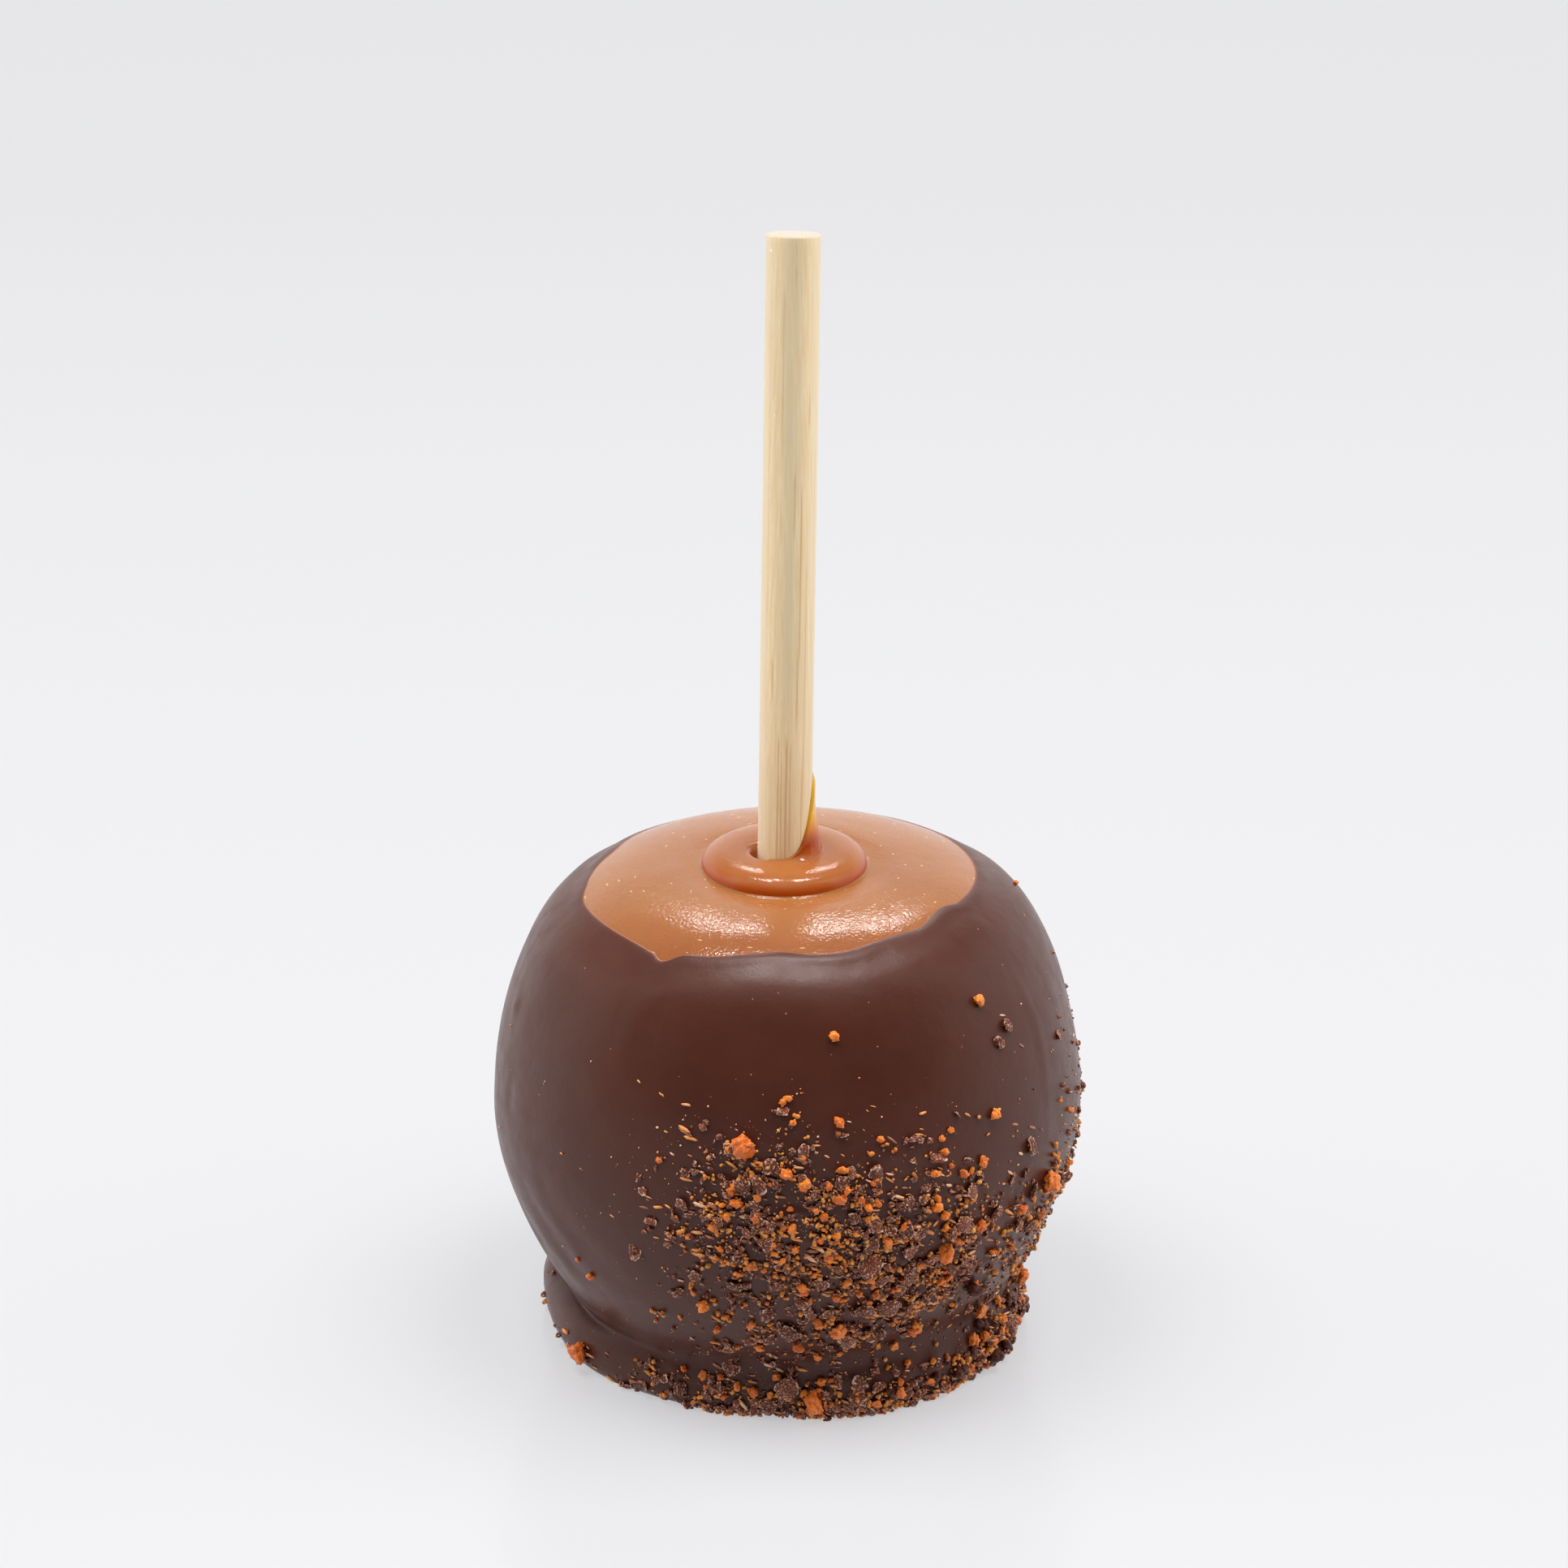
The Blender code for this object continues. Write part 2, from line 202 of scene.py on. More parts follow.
# The studio.
LIT_POINT = Vector((0, 0, 60)) * MM
PANEL_DISTANCE = 1.0
SPOT_WIDTH = 30 * MM
SPOT_HEIGHT = 85 * MM
SPOT_LEVEL = 117 * MM
SPOT_SPREAD = math.radians(3)
SPOT_POWER = 0.00042
AMBIENT = 0.02
SOFT_EDGE = 12  # degrees
STRIPS = (  # lights that only make highlights: elevation, azimuth, width, height and power
    (43, 2, 0.40, 0.05, 1.6),
    (76, 1, 0.52, 0.10, 5.2),
)
SIDE_PANELS = (  # lights on both sides that make no highlights: elevation, azimuth and power
    (70, 100, 7.4),
    (15, 85, 2.5),
)
SIDE_PANEL_SIZE = (0.8, 0.5)
SPOT_AZIMUTH = 140
FLOOR_REACH = 6.0
SURROUNDINGS = (  # degrees from the back and above the horizon: from, to, from, to, and strength
    (0, 75, 0, 30, 1.05),
    (75, 110, 0, 30, 0.8),
    (0, 75, 30, 60, 0.22),
    (75, 100, 30, 60, 1.3),
    (90, 200, 62, 110, 0.7),
    (110, 200, 10, 62, 0.08),
)


# ---- numbers and fields


def smooth_step(x):
    x = np.clip(x, 0.0, 1.0)
    return x * x * (3 - 2 * x)


def smooth_max(a, b, softness):
    """The larger of two lengths, with the corner between them rounded off."""
    overlap = np.maximum(softness - abs(a - b), 0.0) / softness
    return np.maximum(a, b) + overlap * overlap * softness / 4


def bell(x):
    return np.exp(-x * x)


def turn(angle):
    """An angle brought to between minus and plus half a turn."""
    return (angle + math.pi) % (2 * math.pi) - math.pi


def swell(points, wavelength, seed, waves=28):
    """A smooth random field of about unit height, with bumps of about one wavelength."""
    random = np.random.default_rng(seed)
    directions = random.normal(size=(waves, 3))
    directions /= np.linalg.norm(directions, axis=1)[:, None]
    directions *= 2 * math.pi / wavelength * random.uniform(0.6, 1.3, (waves, 1))
    phases = random.uniform(0, 2 * math.pi, waves)
    field = np.zeros(points.shape[:-1])
    for direction, phase in zip(directions, phases):
        field += np.cos(points @ direction + phase)
    return field / math.sqrt(waves / 2)


# ---- the apple's outline


def columns(count):
    return 2 * math.pi * np.arange(count) / count - math.pi


def dip_radius(azimuth):
    """The dip line's distance from the axis, by a Catmull-Rom curve through its points."""
    degrees = (np.degrees(azimuth) + 180) % 360 - 180
    starts = np.array([point[0] for point in DIP_LINE] + [180.0])
    radii = np.array([point[1] for point in DIP_LINE])
    count = len(radii)
    i = np.searchsorted(starts, degrees, side="right") - 1
    i = np.clip(i, 0, count - 1)
    before, here, after, beyond = (radii[(i + k) % count] for k in (-1, 0, 1, 2))
    t = (degrees - starts[i]) / (starts[i + 1] - starts[i])
    slope_here = (after - before) / 2
    slope_after = (beyond - here) / 2
    radius = (
        here * (2 * t**3 - 3 * t**2 + 1)
        + slope_here * (t**3 - 2 * t**2 + t)
        + after * (3 * t**2 - 2 * t**3)
        + slope_after * (t**3 - t**2)
    )
    return radius * MM


def dip_fall(azimuth):
    return np.arcsin(dip_radius(azimuth) / WIDEST_RADIUS)


def meridian(fall, inset=0.0):
    """Radius and height at an angle of fall: 0 at the top's middle, a quarter turn at the widest
    ring and a half turn below."""
    sine = np.sin(np.minimum(fall, math.pi / 2))
    crown = np.maximum(1 - sine**UPPER_SQUARENESS, 0.0) ** (1 / UPPER_CROWN)
    upper_radius = (WIDEST_RADIUS - inset) * sine
    dimple = DIMPLE_DEPTH * bell(upper_radius / DIMPLE_RADIUS)
    upper_height = WIDEST_HEIGHT + (UPPER_RISE - inset) * crown - dimple
    drop = np.maximum(-np.cos(fall), 0.0)
    taper = np.maximum(1 - drop**LOWER_TAPER, 0.0) ** (1 / LOWER_SQUARENESS)
    lower_radius = (WIDEST_RADIUS - inset) * taper
    lower_height = WIDEST_HEIGHT - (LOWER_DROP - inset) * drop
    above = fall <= math.pi / 2
    return np.where(above, upper_radius, lower_radius), np.where(above, upper_height, lower_height)


def lower_radius(height):
    drop = (WIDEST_HEIGHT - height) / LOWER_DROP
    return WIDEST_RADIUS * (1 - drop**LOWER_TAPER) ** (1 / LOWER_SQUARENESS)


def foot_radius(height, azimuth):
    """The foot's rounded side: not quite round, and slightly wavy."""
    rise = abs(height - FOOT_CENTRE_HEIGHT) / FOOT_HALF_HEIGHT
    flatter = FOOT_LEFT_FLATNESS * (0.5 - 0.5 * np.cos(azimuth)) ** 2
    rise = np.minimum(rise * np.where(height > FOOT_CENTRE_HEIGHT, 1 + flatter, 1.0), 1.0)
    reach = FOOT_HALF_WIDTH * (1 - rise**FOOT_SQUARENESS) ** (1 / FOOT_SQUARENESS)
    swelling = FOOT_SWELL * np.cos(2 * (azimuth - FOOT_SWELL_AZIMUTH))
    swelling = swelling - FOOT_LEFT_SWELL * np.cos(azimuth)
    for count, phase, high in FOOT_WAVES:
        swelling = swelling + high * MM * np.sin(count * azimuth + phase)
    return FOOT_CENTRE_RADIUS + reach + np.where(rise < 1, swelling, 0.0)


def side_radius(height, azimuth):
    """The body's underside and the foot, with the groove between them."""
    return smooth_max(lower_radius(height), foot_radius(height, azimuth), GROOVE_SOFTNESS)


def filleted_radius(height, azimuth):
    """The same with the groove averaged over a little height in front, into a soft hollow."""
    sharp = side_radius(height, azimuth)
    fine = np.linspace(0, 1.6 * FOOT_TOP, FINE_FOOT_ROWS)[:, None]
    share = bell((height - fine.T) / FILLET_SIZE)
    soft = share @ side_radius(fine, azimuth) / share.sum(axis=1)[:, None]
    inside = smooth_step(height / FILLET_END) * smooth_step((FOOT_TOP - height) / FILLET_END)
    aside = turn(azimuth - FILLET_AZIMUTH) / FILLET_SPREAD
    return sharp + (soft - sharp) * inside * bell(aside * aside)


def around_and_up(points):
    """Each point's azimuth in degrees and height in millimetres."""
    return np.degrees(np.arctan2(points[..., 1], points[..., 0])), points[..., 2] / MM


def nearness(azimuth, height, place):
    """From 0 to 1, how near points are to a place: azimuth, height, and how far it goes each way."""
    middle, level, aside, rise = place
    return bell((azimuth - middle) / aside) * bell((height - level) / rise)


def placed(radius, height, azimuth):
    """Points at radii, heights and azimuths, on an axis that leans a little to the right."""
    shift = TOP_SHIFT * height / (WIDEST_HEIGHT + UPPER_RISE)
    around = np.cos(azimuth), np.sin(azimuth)
    return np.stack([shift + radius * around[0], radius * around[1], height + 0 * azimuth], axis=-1)


# ---- meshes


def grid_normals(points):
    """Outward normals of a grid whose rows run down and whose columns run round."""
    across = np.roll(points, -1, axis=1) - np.roll(points, 1, axis=1)
    down = np.gradient(points, axis=0)
    normals = np.cross(down, across)
    return normals / np.maximum(np.linalg.norm(normals, axis=2), 1e-12)[..., None]


def grid_mesh(rings, wraps=False):
    """Points and faces over rings of points. Unless the last ring joins the first again, each end
    is closed by a fan to the middle of its ring."""
    rows, across = rings.shape[:2]
    index = np.arange(rows * across).reshape(rows, across)
    upper = index if wraps else index[:-1]
    lower = np.roll(index, -1, axis=0) if wraps else index[1:]
    quads = np.stack(
        [upper, lower, np.roll(lower, -1, axis=1), np.roll(upper, -1, axis=1)], axis=-1
    )
    faces = quads.reshape(-1, 4).tolist()
    points = rings.reshape(-1, 3)
    if not wraps:
        middles = np.stack([rings[0].mean(axis=0), rings[-1].mean(axis=0)])
        first, last = len(points), len(points) + 1
        points = np.concatenate([points, middles])
        after = np.roll(index, -1, axis=1)
        faces += [[first, a, b] for a, b in zip(index[0], after[0])]
        faces += [[last, b, a] for a, b in zip(index[-1], after[-1])]
    return points, faces


def new_object(name, data):
    """An object in the scene with this mesh, camera or light."""
    obj = bpy.data.objects.new(name, data)
    bpy.context.scene.collection.objects.link(obj)
    return obj


def add_piece(name, points, faces, material, replaced=()):
    """A smooth mesh object that rides on the apple and takes its finish from a material slot."""
    mesh = bpy.data.meshes.new(name)
    mesh.from_pydata(points.tolist(), [], faces)
    mesh.validate()
    mesh.shade_smooth()
    mesh.materials.append(material)
    obj = new_object(name, mesh)
    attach(obj, "root")
    if replaced:
        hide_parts(*replaced)
    return obj


def store(obj, name, values):
    """Stores a number for each point, for the material to read. The last points, which have no
    number of their own, get 0."""
    numbers = np.zeros(len(obj.data.vertices), np.float32)
    numbers[: np.size(values)] = np.ravel(values)
    obj.data.attributes.new(name, "FLOAT", "POINT").data.foreach_set("value", numbers)


# ---- the chocolate coat


def coat_outline(azimuth):
    """The coat's outer profile at each azimuth, from its edge down to the base: fine points of
    radius and height, and the distance run along them."""
    dip = dip_fall(azimuth)
    foot_fall = math.acos(-(WIDEST_HEIGHT - FOOT_TOP) / LOWER_DROP)
    share = np.linspace(0, 1, FINE_SIDE_ROWS)[:, None]
    radius, height = meridian(dip + (foot_fall - dip) * share)
    turned = math.pi * np.linspace(0, 1, FINE_FOOT_ROWS)[1:, None]
    low = FOOT_TOP * 0.5 * (1 + np.cos(turned))
    radius = np.concatenate([radius, filleted_radius(low, azimuth)])
    height = np.concatenate([height, low + 0 * azimuth])
    steps = np.hypot(np.diff(radius, axis=0), np.diff(height, axis=0))
    run = np.concatenate([np.zeros((1, len(azimuth))), np.cumsum(steps, axis=0)])
    return radius, height, run


def coat_grid():
    """The coat's outer surface without its relief, and each point's distance from the edge."""
    azimuth = columns(COAT_COLUMNS)
    radius, height, run = coat_outline(azimuth)
    near = LIP_LENGTH * np.linspace(0, 1, LIP_ROWS) ** 1.6
    rings = np.zeros((LIP_ROWS + SIDE_ROWS, COAT_COLUMNS, 3))
    distance = np.zeros(rings.shape[:2])
    for i in range(COAT_COLUMNS):
        rest = np.linspace(LIP_LENGTH, run[-1, i], SIDE_ROWS + 1)[1:]
        distance[:, i] = np.concatenate([near, rest])
        r = np.interp(distance[:, i], run[:, i], radius[:, i])
        h = np.interp(distance[:, i], run[:, i], height[:, i])
        rings[:, i] = placed(r, h, np.full_like(r, azimuth[i]))
    return rings, distance


def coat_relief(points, distance):
    """How far the coat's surface stands out: its rounded edge, the roll behind it, slow waves,
    single marks, ripples at the left, and crumbs under it."""
    azimuth, height = around_and_up(points)
    edge = RIM_RISE * (1 - np.exp(-distance / RIM_ROUNDING)) - RIM_SINK
    edge += SHOULDER_RISE * smooth_step((distance - SHOULDER_START) / SHOULDER_LENGTH)
    edge *= 1 - smooth_step((distance - SHOULDER_START - SHOULDER_LENGTH) / SHOULDER_FADE)
    roll = ROLL_HEIGHT * bell((distance - ROLL_DISTANCE) / ROLL_WIDTH)
    roll *= 1 + 0.5 * swell(points, 14 * MM, 3)
    waves = sum(high * MM * swell(points, length * MM, seed) for length, high, seed in WAVES)
    waves *= smooth_step(distance / (4 * MM)) * smooth_step(height / 3)
    sag = SAG_HEIGHT * np.sin((azimuth + SAG_SLANT * height) / SAG_PITCH)
    sag *= nearness(azimuth, height, SAG_PLACE)
    relief = edge + roll + waves + sag + coated_crumbs(points)
    for middle, level, wide, tall, out, lean in COAT_MARKS:
        aside = azimuth - middle - lean * (height - level)
        relief += out * MM * bell(aside / wide) * bell((height - level) / tall)
    return relief


def coated_crumbs(points):
    """How far the crumbs that the chocolate covered lift it: small grains where the crumbs lie
    thickest, and large lumps on the foot's rim at the right."""
    azimuth, height = around_and_up(points)
    covered = smooth_step(crumb_density(points) / 1.2)
    grains = COATED_GRAIN * np.maximum(swell(points, COATED_GRAIN_SIZE, 31), 0.0)
    lumps = COATED_LUMP * np.maximum(swell(points, COATED_LUMP_SIZE, 32), 0.0)
    rim = nearness(azimuth, height, COATED_RIM) * smooth_step(height)
    return (covered * grains + rim * lumps) * MM


def hidden_rings(azimuth, start, end, shares, inset, ease, lowest):
    """Rings of a surface out of sight under the coat. It is drawn in by the first inset at its
    start, and soon by the second as well."""
    rings = []
    for share in shares:
        fall = start + (end - start) * share
        radius, height = meridian(fall, inset[1] * smooth_step(share / ease) + inset[0])
        rings.append(placed(radius, np.maximum(height, lowest), azimuth))
    return np.array(rings)


def make_coat(material):
    rings, distance = coat_grid()
    outer = rings + grid_normals(rings) * coat_relief(rings, distance)[..., None]
    outer[-1, :, 2] = 0.0
    np.maximum(outer[..., 2], 0.0, out=outer[..., 2])
    azimuth = columns(COAT_COLUMNS)
    inner = hidden_rings(
        azimuth,
        start=dip_fall(azimuth),
        end=COAT_END,
        shares=np.linspace(1, 0, 18),
        inset=(RIM_SINK, COAT_THICKNESS),
        ease=0.06,
        lowest=COAT_INSIDE_HEIGHT,
    )
    points, faces = grid_mesh(np.concatenate([inner, outer]))
    coat = add_piece("chocolate_dip", points, faces, material, ["chocolate_coat"])
    thin = np.concatenate([np.zeros(inner.shape[:2]), bell(distance / THIN_EDGE)])
    store(coat, "thin", thin)
    return outer


# ---- the caramel


def moat(radius):
    """From 0 to 1, how near a distance from the axis is to the sunk line round the ring."""
    return bell((radius - MOAT_RADIUS) / MOAT_WIDTH)


def make_caramel(material):
    """The caramel: its bare top with a sunk line round the ring, and the rest under the coat."""
    azimuth = columns(CARAMEL_COLUMNS)
    dip = dip_fall(azimuth)
    start = math.asin(STICK_RADIUS / WIDEST_RADIUS)
    rings = []
    for share in np.linspace(0, 1, CARAMEL_ROWS):
        fall = start + (dip + CARAMEL_BEYOND_DIP - start) * share
        rings.append(placed(*meridian(fall), azimuth))
    bare = np.array(rings)
    radius = np.hypot(bare[..., 0], bare[..., 1])
    relief = 0.018 * MM * swell(bare, 11 * MM, 11) + 0.006 * MM * swell(bare, 3.5 * MM, 12)
    relief *= smooth_step((radius - STICK_RADIUS) / (3 * MM))
    relief -= MOAT_DEPTH * moat(radius)
    bare = bare + grid_normals(bare) * relief[..., None]
    hidden = hidden_rings(
        azimuth,
        start=dip + CARAMEL_BEYOND_DIP,
        end=CARAMEL_END,
        shares=np.linspace(0, 1, 20)[1:],
        inset=(0.0, COAT_THICKNESS + CARAMEL_CLEARANCE),
        ease=0.08,
        lowest=CARAMEL_BASE_HEIGHT,
    )
    bore = bare[:1].copy()
    bore[..., 2] -= BORE_DEPTH
    points, faces = grid_mesh(np.concatenate([bore, bare, hidden]))
    apple = add_piece("caramel_apple", points, faces, material, ["caramel_body"])
    # moat: the sunk line, where the caramel's material also paints the ring's reflection in a deeper
    # golden colour
    store(apple, "moat", moat(np.hypot(points[:, 0], points[:, 1])))


def ring_section(azimuth):
    """The ring's section at an azimuth: radii and heights along its underside, over its rounded
    top, up the web and down the hole for the stick."""
    hole = STICK_RADIUS - RING_BITE
    flare = hole + WEB_THICKNESS + WEB_FLARE
    outline = RING_RADIUS + RING_SHIFT_BACK * math.sin(azimuth)
    under = hole + (outline - hole) * np.linspace(0, 1, 8)
    under_height = meridian(np.arcsin(under / WIDEST_RADIUS))[1] - RING_SINK
    across = np.cos(np.linspace(0, math.pi / 2, 56)[1:])
    top = flare + (outline - flare) * across
    skirt = outline + SKIRT_WIDTH * np.linspace(1, 0, 8)[:-1]
    top = np.concatenate([skirt, top])
    crown = np.maximum(1 - (top / outline) ** RING_SQUARENESS, 0.0) ** (1 / RING_CROWN)
    dish = RING_DISH_DEPTH * bell(top / RING_DISH_RADIUS)
    base_height = meridian(math.asin(outline / WIDEST_RADIUS))[1] - RING_SINK
    lift = RING_HEIGHT + RING_RIM_RISE
    film = SKIRT_HEIGHT * np.clip(1 - (top - outline) / SKIRT_WIDTH, 0, 1) ** 2 - SKIRT_SINK
    film_height = meridian(np.arcsin(top / WIDEST_RADIUS))[1] + film
    film_height -= MOAT_DEPTH * moat(top)
    top_height = base_height + lift * crown - dish
    top_height = np.where(top > 0.9 * outline, np.maximum(top_height, film_height), top_height)
    offset = abs(turn(azimuth - WEB_AZIMUTH))
    edge_height = RING_CONTACT + WEB_HEIGHT * bell(offset / WEB_SPREAD)
    well = WELL_DEPTH * bell(turn(azimuth - WELL_AZIMUTH) / WELL_SPREAD) ** 2
    left = np.linspace(1, 0, 28)[1:]
    web = hole + WEB_THICKNESS * smooth_step(left / 0.15) + WEB_FLARE * left**WEB_FLARE_POWER
    web_height = edge_height + (top_height[-1] - edge_height) * left
    radius = np.concatenate([under, top, web])
    height = np.concatenate([under_height, top_height, web_height])
    sink = well * bell((radius - STICK_RADIUS) / WELL_WIDTH)
    sink[: len(under)] = 0
    return radius, height - sink


def make_ring(material):
    azimuth = columns(RING_COLUMNS)
    direction = np.array(stick_pose().to_3x3() @ Vector((0, 0, 1)))
    rings = []
    for angle in azimuth:
        radius, height = ring_section(angle)
        rise = (height - STICK_ENTRY.z) / direction[2]
        centre = np.array(STICK_ENTRY) + rise[:, None] * direction
        around = np.array((math.cos(angle), math.sin(angle), 0.0))
        rings.append(centre + radius[:, None] * around)
    rings = np.array(rings).transpose(1, 0, 2)
    points, faces = grid_mesh(rings[::-1], wraps=True)
    pool = add_piece("caramel_pool", points, faces, material, ["caramel_ring"])
    # climb: where the web is painted golden, partly as painted light shining through it
    store(pool, "climb", smooth_step((points[:, 2] - WEB_START) / WEB_GOLDEN))


# ---- the stick


def stick_pose():
    """The matrix that puts the stick's axis on Z, with its entry point at the origin."""
    lean = Matrix.Rotation(STICK_LEAN_RIGHT, 4, "Y") @ Matrix.Rotation(-STICK_LEAN_BACK, 4, "X")
    return Matrix.Translation(STICK_ENTRY) @ lean


def stick_marks(rings):
    """How dark the marks along the grain are, and how weathered the stick is, at each point of
    the unleaned stick. A mark keeps its place across the stick all along its length."""
    across = rings[..., 0] / STICK_RADIUS
    level = rings[..., 2] + STICK_ENTRY.z
    front = smooth_step(-rings[..., 1] / (0.3 * STICK_RADIUS))
    dark = np.zeros(level.shape)
    for x, top, bottom, width, strength in STICK_MARKS:
        middle = photo_level((top + bottom) / 2)
        axis = STICK_ENTRY.x + math.tan(STICK_LEAN_RIGHT) * (middle - STICK_ENTRY.z)
        place = ((x - PHOTO_SIZE / 2) / PIXELS_PER_MM * MM + CAMERA_AIM.x - axis) / STICK_RADIUS
        span = smooth_step((photo_level(top) - level) / MARK_FADE + 0.5)
        span *= smooth_step((level - photo_level(bottom)) / MARK_FADE + 0.5)
        dark = np.maximum(dark, strength * bell((across - place) * STICK_RADIUS / (width * MM)) * span)
    weathered = bell((across - WEATHERED_PLACE) / WEATHERED_WIDTH)
    weathered *= smooth_step((level - WEATHERED_FOOT) / (10 * MM))
    return dark * front, weathered * front


def photo_level(y):
    """The height on the stick that a row of the photograph shows."""
    return CAMERA_AIM.z + (PHOTO_SIZE / 2 - y) / (PIXELS_PER_MM * math.cos(CAMERA_ELEVATION)) * MM


def make_stick(material):
    """The stick, with a slanting cut at its top, worn ends and marks along its grain."""
    top = STICK_TOP - STICK_ENTRY.z - CUT_DEPTH
    bottom = top - STICK_LENGTH + CUT_DEPTH
    azimuth = columns(STICK_COLUMNS)
    rows = np.linspace(top - STICK_EDGE, bottom + STICK_EDGE, STICK_ROWS)
    worn = STICK_EDGE * (1 - np.cos(np.linspace(0, math.pi / 2, WORN_ROWS)[:-1]))
    rows = np.concatenate([top - worn, rows, bottom + worn[::-1]])[:, None]
    rounding = STICK_EDGE - np.minimum(np.minimum(top - rows, rows - bottom), STICK_EDGE)
    radius = STICK_RADIUS - STICK_EDGE + np.sqrt(STICK_EDGE**2 - rounding**2)
    slant = math.tan(CUT_SLOPE) * STICK_RADIUS * bell((top - rows) / CUT_REACH)
    height = rows - slant * np.sin(azimuth)
    rings = np.stack([radius * np.cos(azimuth), radius * np.sin(azimuth), height], axis=-1)
    ends = []
    for end, order in ((rings[0], END_RINGS), (rings[-1], END_RINGS[::-1])):
        middle = end.mean(axis=0)
        ends.append(np.array([middle + (end - middle) * share for share in order]))
    rings = np.concatenate([ends[0], rings, ends[1]])
    dark, weathered = stick_marks(rings)
    pose = np.array(stick_pose())
    points, faces = grid_mesh(rings @ pose[:3, :3].T + pose[:3, 3])
    stick = add_piece("bamboo_stick", points, faces, material, ["stick"])
    store(stick, "mark", dark)
    store(stick, "weathered", weathered)


# ---- crumbs

NUGGETS = (  # the largest toffee crumbs: photograph x, y, width in millimetres
    (917, 1410, 3.9), (1289, 1453, 3.6), (1161, 1541, 2.9), (1032, 1634, 2.9), (1003, 1725, 3.2),
    (719, 1666, 2.8), (869, 1606, 2.2), (1149, 1445, 2.0), (1225, 1373, 1.8), (1204, 1232, 1.9),
    (1251, 1571, 2.8), (986, 1655, 1.9), (884, 1636, 1.7), (1208, 1430, 1.6), (1037, 1476, 2.0),
    (1254, 1486, 2.2), (1205, 1508, 1.8), (1036, 1383, 1.8), (1204, 1611, 2.3), (1212, 1645, 2.0),
    (1248, 1628, 2.0), (1197, 1650, 2.0), (970, 1445, 2.0), (1020, 1545, 1.9),
)
SMALL_NUGGETS = (
    (1030, 1279, 1.6), (1251, 1089, 0.9), (667, 1590, 1.2), (675, 1622, 1.4), (1170, 1392, 1.3),
    (976, 1381, 1.2), (1158, 1404, 1.2), (1226, 1601, 1.5), (1229, 1628, 1.7), (1222, 1649, 1.4),
    (1239, 1655, 1.3), (1188, 1684, 1.5), (1116, 1680, 1.4), (1148, 1676, 1.1), (1165, 1571, 1.7),
    (1100, 1657, 1.7), (1141, 1701, 1.6), (1165, 1708, 1.3), (1125, 1628, 1.0), (1007, 1671, 1.6),
    (1076, 1594, 1.4), (1046, 1575, 1.4), (1028, 1597, 1.5), (988, 1583, 1.6), (1007, 1628, 1.5),
    (1011, 1704, 1.6), (926, 1714, 1.7), (909, 1704, 1.5), (892, 1720, 1.3), (842, 1687, 1.2),
    (868, 1693, 1.4), (890, 1697, 1.2), (818, 1718, 1.2), (1080, 1725, 1.4), (1058, 1737, 1.0),
    (1105, 1704, 1.4), (957, 1695, 1.4), (1032, 1666, 1.1), (1150, 1485, 1.7), (1160, 1497, 1.3),
    (987, 1462, 1.3), (1020, 1460, 1.4), (1082, 1405, 1.3), (1075, 1420, 1.2), (972, 1355, 1.2),
    (1017, 1497, 1.4), (965, 1550, 1.3), (1185, 1447, 1.6), (1160, 1420, 1.5), (1317, 1367, 1.1),
    (1315, 1432, 1.2), (1062, 1478, 1.3), (1070, 1490, 1.4), (1080, 1482, 1.3), (1066, 1500, 1.2),
)
CHIPS = (  # the largest chocolate crumbs
    (973, 1708, 4.4), (1116, 1479, 3.4), (1225, 1494, 3.0), (1193, 1470, 2.6), (1060, 1612, 3.4),
    (1088, 1608, 3.6), (1267, 1411, 2.6), (1238, 1262, 2.2), (900, 1680, 3.2), (1134, 1514, 2.9),
    (1184, 1506, 2.6), (1118, 1540, 2.8), (1120, 1510, 3.0), (1172, 1517, 3.2), (1072, 1555, 3.0),
    (1105, 1585, 2.6), (1145, 1550, 2.6), (1120, 1570, 2.6), (976, 1637, 3.0), (949, 1729, 3.0),
    (909, 1583, 2.6), (1307, 1450, 2.4), (1300, 1480, 2.4),
)
SMALL_CHIPS = (
    (1302, 1276, 1.6), (784, 1541, 2.3), (842, 1486, 2.2), (1057, 1706, 2.4), (990, 1420, 2.2),
    (1082, 1442, 2.2), (856, 1570, 2.4), (838, 1591, 2.2), (942, 1618, 2.4), (1076, 1689, 2.0),
    (1030, 1702, 2.0), (1076, 1708, 2.0), (836, 1706, 2.4), (872, 1718, 2.2), (797, 1708, 2.0),
    (1030, 1731, 1.8), (1065, 1637, 1.8), (1115, 1714, 1.6), (965, 1370, 1.6), (1045, 1445, 2.0),
    (932, 1485, 1.8), (952, 1585, 2.0), (1042, 1397, 1.6), (1130, 1402, 1.5), (1180, 1370, 1.3),
    (1267, 1505, 2.2), (1282, 1525, 2.2), (1287, 1505, 2.0), (1325, 1390, 1.6), (1260, 1565, 1.6),
)
COATED_LUMPS = (  # crumbs on the foot's rim that the chocolate covered
    (1219, 1673, 3.6), (1251, 1638, 3.0), (1206, 1633, 2.6), (1177, 1687, 2.8), (1240, 1600, 2.6),
    (1236, 1660, 2.6), (1196, 1668, 2.4), (1150, 1697, 2.2), (1256, 1608, 2.4), (1100, 1712, 2.2),
)
